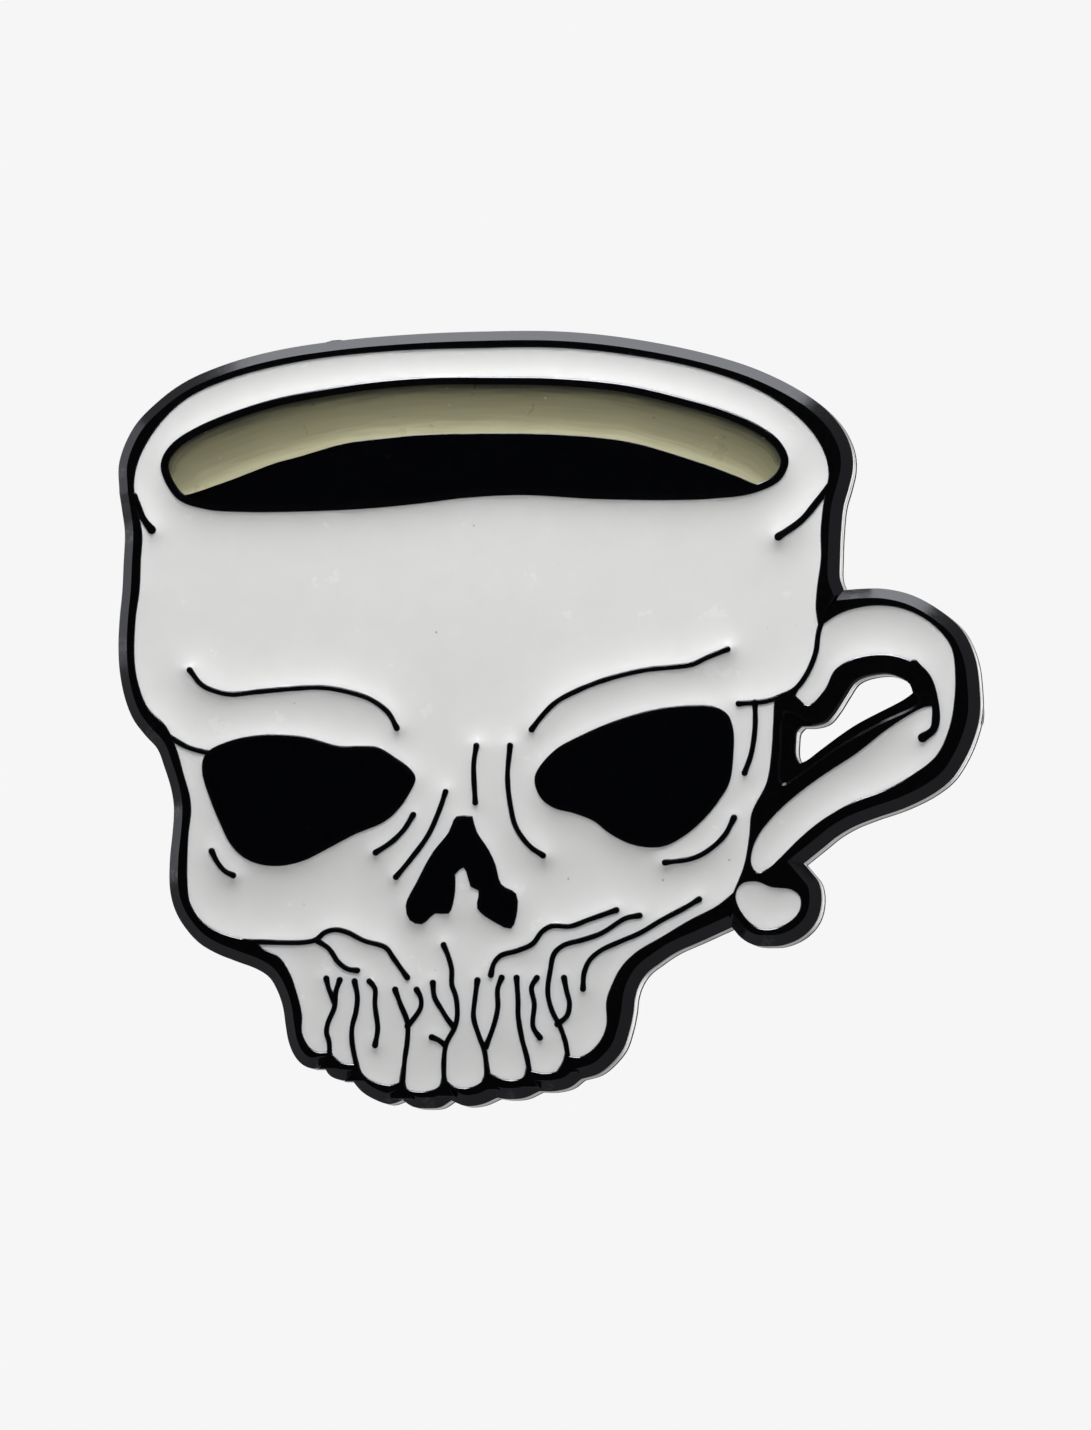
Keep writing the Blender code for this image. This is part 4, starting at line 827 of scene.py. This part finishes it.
slots = tools("line_slots")
shapes = [line_strip(points, width - 2 * OVERLAP) for name, points, width in STROKES]
shapes += [offset(outline(runs, step), -OVERLAP) for name, runs, width, step in BANDS]
shapes += [offset(cusp(foot, reach), -OVERLAP) for foot, reach in CUSPS]
for i, shape in enumerate(shapes):
    place(tiered(shape, [(FLOOR - 0.1, 0), (LINE_TOP + 0.2, 0)]), "slot_%d" % i, slots)
skull = poured("skull_white", offset(outline(SKULL_RECESS), OVERLAP), WHITE_TOP, WHITE_CLIMB, slots)
handle = poured("handle_white", offset(outline(HANDLE_RECESS), OVERLAP), WHITE_TOP, WHITE_CLIMB, slots)
discard(slots)
curl = poured("foot_curl_white", offset(outline(CURL_RECESS), OVERLAP), WHITE_TOP, WHITE_CLIMB)
cup = offset(outline(MOUTH), OVERLAP - RING)
upper, lower = line_sides(struck(COFFEE_LINE), LINE - 2 * OVERLAP)
beyond = {}
for side, edge, end in (("above", upper, 14), ("below", lower, -6)):
    left, right = edge[0].x - 2, edge[-1].x + 2
    beyond[side] = edge + [Vector(p) for p in ((right, edge[-1].y), (right, end), (left, end),
                                               (left, edge[0].y))]
sage = poured("cup_wall_sage", cup, SAGE_TOP, SAGE_CLIMB, keep_side=beyond["below"])
painted_shade_share(sage, [p for p in cup if p.y > 4.6], struck(COFFEE_LINE))
coffee = poured("coffee_black", offset(outline(MOUTH), SOFT_EDGE - RING), BLACK_TOP, 0.0,
                keep_side=beyond["above"])
left_eye = poured("left_eye_black", offset(outline(LEFT_EYE), SOFT_EDGE - LINE), BLACK_TOP, 0.0)
right_eye = poured("right_eye_black", offset(outline(RIGHT_EYE), SOFT_EDGE - LINE), BLACK_TOP, 0.0)
nose = poured("nose_black", offset(outline(NOSE, NOSE_STEP), SOFT_EDGE - LINE), BLACK_TOP, 0.0)

white_enamel, tree, shader = finish("white_enamel", 0.0)
texture = group(tree, grain, Size=1.3, Low=0.20, High=0.28)
fine = group(tree, grain, Size=0.12, Low=0.0, High=1.0)
spots = group(tree, specks, Size=0.35, Amount=0.012)["Mask"]
rim = add(tree, "Attribute", {"attribute_name": "rim"}).outputs["Fac"]
edge = steps(tree, rim, 0.9, 1.0)
tone = blended(tree, texture["Height"], (0.80, 0.80, 0.795, 1), (0.86, 0.86, 0.85, 1))
tone = blended(tree, edge, tone, (0.78, 0.79, 0.80, 1))
tone = blended(tree, spots, tone, (0.45, 0.45, 0.45, 1))
dress(tree, shader, tone, texture, fine["Height"], 0.0012)

sage_enamel, tree, shader = finish("sage_enamel", 0.0)
texture = group(tree, grain, Size=0.9, Low=0.26, High=0.36)
fine = group(tree, grain, Size=0.10, Low=0.0, High=1.0)
spots = group(tree, specks, Size=0.45, Amount=0.22)["Mask"]
down = add(tree, "Attribute", {"attribute_name": "down"}).outputs["Fac"]
across = add(tree, "SeparateXYZ", Vector=add(tree, "TexCoord").outputs["Object"]).outputs["X"]
brushed = add(tree, "CombineXYZ", X=value_of(tree, "MULTIPLY", across, 420.0),
              Y=value_of(tree, "MULTIPLY", down, 13.0)).outputs[0]
ripples = add(tree, "TexNoise", Vector=brushed, Scale=1.0, Detail=3.0, Roughness=0.6).outputs["Fac"]
waver = add(tree, "MapRange", Value=ripples, From_Min=0.3, From_Max=0.7, To_Min=-0.06, To_Max=0.06)
down = value_of(tree, "ADD", down, waver.outputs["Result"])
# Painted shade and light: the dark olive under the mouth's upper wall is painted shade, and the pale sage
# towards the coffee line is painted light.
tone = blended(tree, steps(tree, down, 0.0, 0.30), (0.060, 0.060, 0.040, 1), (0.185, 0.178, 0.102, 1))
tone = blended(tree, steps(tree, down, 0.25, 0.60), tone, (0.235, 0.226, 0.135, 1))
tone = blended(tree, steps(tree, down, 0.55, 1.0), tone, (0.46, 0.44, 0.285, 1))
both = value_of(tree, "ADD", fine["Height"], ripples)
tone = blended(tree, spots, tone, (0.34, 0.33, 0.23, 1))
dress(tree, shader, tone, texture, both, 0.004)

black_enamel, tree, shader = finish("black_enamel", 0.0)
texture = group(tree, grain, Size=0.8, Low=0.10, High=0.2)
spots = group(tree, specks, Size=0.5, Amount=0.06)["Mask"]
tone = blended(tree, texture["Height"], (0.0002, 0.0003, 0.0006, 1), (0.0008, 0.0011, 0.002, 1))
tone = blended(tree, spots, tone, (0.004, 0.0045, 0.006, 1))
dress(tree, shader, tone, texture, texture["Height"], 0.002)

for piece, made, label, node in (
        (skull, white_enamel, "white_enamel", "skull_enamel"),
        (handle, white_enamel, "white_enamel", "handle_enamel"),
        (curl, white_enamel, "white_enamel", "foot_curl_enamel"),
        (sage, sage_enamel, "sage_enamel", "sage_enamel"),
        (coffee, black_enamel, "black_enamel", "coffee_enamel"),
        (left_eye, black_enamel, "black_enamel", "left_eye_enamel"),
        (right_eye, black_enamel, "black_enamel", "right_eye_enamel"),
        (nose, black_enamel, "black_enamel", "nose_enamel")):
    piece.data.materials.clear()
    piece.data.materials.append(made)
    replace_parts(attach(piece, "pin"), node)


# The two posts: drawn steel nails with a flat head, a grip groove and a point, set head down in
# shallow seats in the back. A turned profile gives each, in millimetres of radius and distance
# behind the back.
ROUND, POST_R, HEAD_R, POST_TIP = 72, 0.55, 2.25, 8.3


def turned(profile, x, behind=0.0):
    """A ring or a solid turned about the axis of the post at x from (radius, distance) points."""
    mesh = bmesh.new()
    ring = [mesh.verts.new((r * MM, y * MM, 0)) for r, y in profile]
    edges = [mesh.edges.new(pair) for pair in zip(ring, ring[1:])]
    if profile[0][0] > 0:
        edges.append(mesh.edges.new((ring[-1], ring[0])))
    bmesh.ops.spin(mesh, geom=edges, cent=(0, 0, 0), axis=(0, 1, 0), dvec=(0, 0, 0),
                   angle=2 * math.pi, steps=ROUND, use_merge=True)
    bmesh.ops.remove_doubles(mesh, verts=mesh.verts, dist=1e-7)
    bmesh.ops.translate(mesh, verts=mesh.verts, vec=(x * MM, behind * MM, 0))
    return mesh


def rounded(points, reach, segments=4):
    """A profile whose inner corners are rounded, where reach gives each corner its own radius."""
    stops = [Vector(p) for p in points]
    done = [stops[0]]
    for before, corner, after, size in zip(stops, stops[1:], stops[2:], reach):
        size = min(size, (corner - before).length * 0.49, (after - corner).length * 0.49)
        start = corner + (before - corner).normalized() * size
        end = corner + (after - corner).normalized() * size
        for i in range(segments + 1):
            t = i / segments
            done.append(start.lerp(corner, t).lerp(corner.lerp(end, t), t))
    return done + [stops[-1]]


def smoothed(made, degrees=30):
    made.data.shade_smooth()
    made.data.set_sharp_from_angle(angle=math.radians(degrees))
    return made


nail = rounded([(0, -0.04), (HEAD_R, -0.04), (HEAD_R, HEAD_R * 0.1), (HEAD_R - 0.16, 0.32), (POST_R, 0.32),
                (POST_R, 6.45), (POST_R - 0.12, 6.62), (POST_R - 0.12, 7.02), (POST_R, 7.2), (POST_R, 7.45),
                (0.14, 8.22), (0, POST_TIP)],
               (0.03, 0.08, 0.10, 0.14, 0.06, 0.06, 0.06, 0.05, 0.06, 0.1))
nail[-1].x = nail[0].x = 0.0

post_steel, tree, shader = finish("post_steel", 1.0)
texture = group(tree, grain, Size=0.10, Low=0.18, High=0.32)
position = add(tree, "TexCoord").outputs["Object"]
drawn = add(tree, "Mapping", Vector=position, Scale=(9000, 500, 9000)).outputs[0]
streaks = add(tree, "TexNoise", Vector=drawn, Scale=1.0, Detail=2.0).outputs["Fac"]
rub = group(tree, wear, Size=0.2, Amount=0.8)["Mask"]
tone = blended(tree, streaks, (0.46, 0.455, 0.44, 1), (0.60, 0.595, 0.58, 1))
tone = blended(tree, rub, tone, (0.74, 0.73, 0.71, 1))
dress(tree, shader, tone, texture, streaks, 0.004)
for side, x in SIDES:
    post = smoothed(place(turned(nail, x), side + "_nail_post"), 40)
    post.data.materials.append(post_steel)
    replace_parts(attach(post, "pin"), side + "_post")

# The solder: a dull grey fillet that ran round each post's head as it was fixed to the back,
# higher in one place and wider in another, with a few pits where flux burnt out.
fillet = [(2.20, -0.05), (3.0, -0.05), (2.98, 0.0), (2.9, 0.05), (2.78, 0.09), (2.62, 0.14), (2.48, 0.2),
          (2.36, 0.27), (2.28, 0.3), (2.20, 0.28)]

solder_grey, tree, shader = finish("solder_grey", 1.0)
texture = group(tree, grain, Size=0.28, Low=0.34, High=0.56)
spots = group(tree, specks, Size=0.55, Amount=0.35)["Mask"]
tone = blended(tree, texture["Height"], (0.36, 0.36, 0.355, 1), (0.52, 0.52, 0.51, 1))
tone = blended(tree, spots, tone, (0.16, 0.15, 0.13, 1))
dress(tree, shader, tone, texture, texture["Height"], 0.03)
for side, x in SIDES:
    mesh = turned(fillet, x)
    for vert in mesh.verts:
        spoke = Vector((vert.co.x / MM - x, vert.co.z / MM))
        run = noise.noise((spoke.x * 0.55, spoke.y * 0.55, x))
        lump = noise.noise((vert.co.x * 2400, vert.co.z * 2400, x))
        if spoke.length > 2.25:
            spoke *= 1 + min(0.0, 0.05 * run + 0.012 * lump)
            vert.co.x, vert.co.z = (x + spoke.x) * MM, spoke.y * MM
        if vert.co.y > 0.01 * MM:
            vert.co.y *= 1 + 0.30 * run + 0.16 * lump
    ring = smoothed(place(mesh, side + "_solder_ring"), 60)
    ring.data.materials.append(solder_grey)
    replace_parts(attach(ring, "pin"), side + "_solder")

# The clutch bases: discs stamped from brass and nickel plated, with a pressed ring and a turned-in
# hole on the cloth side. The rim is rolled over the flange of the cover to hold it.
CLOTH, DISC_R, DISC_HOLE_R = 2.4, 5.25, 0.75
disc = rounded([(DISC_HOLE_R, 0.2), (DISC_HOLE_R, 0.1), (1.0, 0), (2.9, 0), (3.1, 0.08), (3.45, 0.08),
                (3.65, 0), (4.95, 0), (DISC_R, 0.28), (DISC_R, 0.97), (4.6, 0.97), (4.6, 0.75), (4.94, 0.75),
                (4.94, 0.41), (DISC_HOLE_R, 0.41), (DISC_HOLE_R, 0.25)],
               (0.04, 0.2, 0.1, 0.1, 0.1, 0.1, 0.2, 0.3, 0.3, 0.12, 0.05, 0.02, 0.02, 0.08))

clutch_nickel, tree, shader = finish("clutch_nickel", 1.0)
texture = group(tree, grain, Size=0.9, Low=0.16, High=0.30)
fine = group(tree, grain, Size=0.14, Low=0.0, High=1.0)
rub = group(tree, wear, Size=0.35, Amount=0.75)["Mask"]
spots = group(tree, specks, Size=0.8, Amount=0.16)["Mask"]
tone = blended(tree, texture["Height"], (0.53, 0.515, 0.48, 1), (0.66, 0.65, 0.62, 1))
tone = blended(tree, rub, tone, (0.70, 0.58, 0.36, 1))
tone = blended(tree, spots, tone, (0.30, 0.28, 0.24, 1))
dress(tree, shader, tone, texture, fine["Height"], 0.004)
for side, x in SIDES:
    base = smoothed(place(turned(disc, x, CLOTH), side + "_stamped_disc"))
    base.data.materials.append(clutch_nickel)
    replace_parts(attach(base, side + "_clutch"), side + "_clutch_disc")

# The clutch covers: domes drawn from the same plated brass, with a window cut across the top for
# the two wings. The window's edge is left as the punch left it, with its corners eased.
dome = rounded([(3.2, 0.6), (3.2, 0.43), (4.91, 0.43), (4.91, 0.73), (3.72, 0.73), (3.52, 1.7), (3.1, 2.6),
                (0, 2.62), (0, 2.3), (2.9, 2.28), (3.2, 1.6), (3.2, 0.75)],
               (0.02, 0.04, 0.04, 0.1, 0.2, 0.75, 0.0, 0.0, 0.6, 0.2))
dome = [p for p in dome if p.x > 1e-6]
WINDOW_X, WINDOW_Z, WINDOW_CORNER = 2.45, 2.05, 0.6
for side, x in SIDES:
    cover = place(turned(dome, x, CLOTH), side + "_domed_cover")
    window = tools(side + "_window_tool")
    mesh = bmesh.new()
    bmesh.ops.create_cube(mesh, size=2, matrix=Matrix.Diagonal((WINDOW_X * MM, MM, WINDOW_Z * MM, 1)))
    along = [e for e in mesh.edges if abs(e.verts[0].co.y - e.verts[1].co.y) > 1e-6]
    bmesh.ops.bevel(mesh, geom=along, offset=WINDOW_CORNER * MM, offset_type="OFFSET", segments=6,
                    profile=0.5, affect="EDGES", material=-1)
    bmesh.ops.translate(mesh, verts=mesh.verts, vec=(x * MM, (CLOTH + 2.6) * MM, 0))
    place(mesh, side + "_window", window)
    combine(cover, "DIFFERENCE", window)
    smoothed(cover)
    cover.data.materials.clear()
    cover.data.materials.append(clutch_nickel)
    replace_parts(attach(cover, side + "_clutch_top"), side + "_clutch_cover")

# The four wings: flat springs bent from one strip each. The jaw end is notched round the post,
# the strip rises through the window, and the wide finger tab has a pressed rib and a curled lip.
WING_THICK, JAW_GAP, JAW_REACH = 0.28, 0.03, 0.34
WING_PATH = [(0.60, 1.04), (1.15, 1.05), (1.45, 1.24), (1.6, 1.75), (1.70, 2.30), (2.15, 2.95), (3.1, 3.75),
             (4.05, 4.45), (4.6, 4.86), (4.86, 5.0), (5.12, 4.98)]


def strip_width(behind, share):
    """Half the strip's width: narrow at the jaw, clear of the window, wide and rounded at the tab."""
    if behind < 1.4:
        return 1.2
    waist = 1.2 + 0.55 * min(1.0, (behind - 1.4) / 0.5)
    flare = 1.0 * math.sin(math.pi / 2 * min(1.0, max(0.0, behind - 2.9) / 1.2))
    tip = max(0.0, (share - 0.80) / 0.20)
    return (waist + flare) * math.sqrt(max(0.10, 1 - 0.9 * tip ** 2.6))


spring_nickel, tree, shader = finish("spring_nickel", 1.0)
texture = group(tree, grain, Size=0.5, Low=0.20, High=0.34)
position = add(tree, "TexCoord").outputs["Object"]
rolled = add(tree, "Mapping", Vector=position, Scale=(6000, 6000, 700)).outputs[0]
streaks = add(tree, "TexNoise", Vector=rolled, Scale=1.0, Detail=3.0).outputs["Fac"]
rub = group(tree, wear, Size=0.3, Amount=0.7)["Mask"]
tone = blended(tree, streaks, (0.52, 0.51, 0.48, 1), (0.68, 0.67, 0.64, 1))
tone = blended(tree, rub, tone, (0.72, 0.60, 0.40, 1))
dress(tree, shader, tone, texture, streaks, 0.004)

course = smooth_run(WING_PATH, 0.06) + [Vector(WING_PATH[-1])]
for side, x in SIDES:
    for place_on_clutch, hand in (("inner", -1 if x > 0 else 1), ("outer", 1 if x > 0 else -1)):
        mesh = bmesh.new()
        bmesh.ops.create_grid(mesh, x_segments=64, y_segments=22, size=0.5)
        for vert in mesh.verts:
            share = min(1.0, max(0.0, vert.co.x + 0.5))
            step = share * (len(course) - 1)
            i = min(int(step), len(course) - 2)
            point, ahead = course[i].lerp(course[i + 1], step - i), course[i + 1] - course[i]
            out = Vector((-ahead.y, ahead.x)).normalized()
            z = 2 * vert.co.y * strip_width(point.y, share)
            rib = 0.16 * math.exp(-(z / 0.42) ** 2) * min(1.0, max(0.0, (share - 0.50) / 0.10)) \
                * min(1.0, max(0.0, (0.90 - share) / 0.10))
            point = point + out * rib
            notch = math.sqrt(max(0.0, (POST_R + JAW_GAP) ** 2 - z * z)) if abs(z) < POST_R else JAW_REACH
            if share < 0.10:
                point.x = max(JAW_REACH, notch) + (point.x - 0.60) * (1.15 - max(JAW_REACH, notch)) / 0.55
            vert.co = ((x + hand * point.x) * MM, (CLOTH + point.y) * MM, z * MM)
        bmesh.ops.recalc_face_normals(mesh, faces=mesh.faces)
        bmesh.ops.solidify(mesh, geom=mesh.faces, thickness=WING_THICK * MM)
        wing = smoothed(place(mesh, side + "_spring_wing_" + place_on_clutch), 40)
        wing.data.materials.append(spring_nickel)
        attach(wing, side + "_wing_" + place_on_clutch)
        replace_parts(wing, side + "_clutch_wing_" + place_on_clutch)
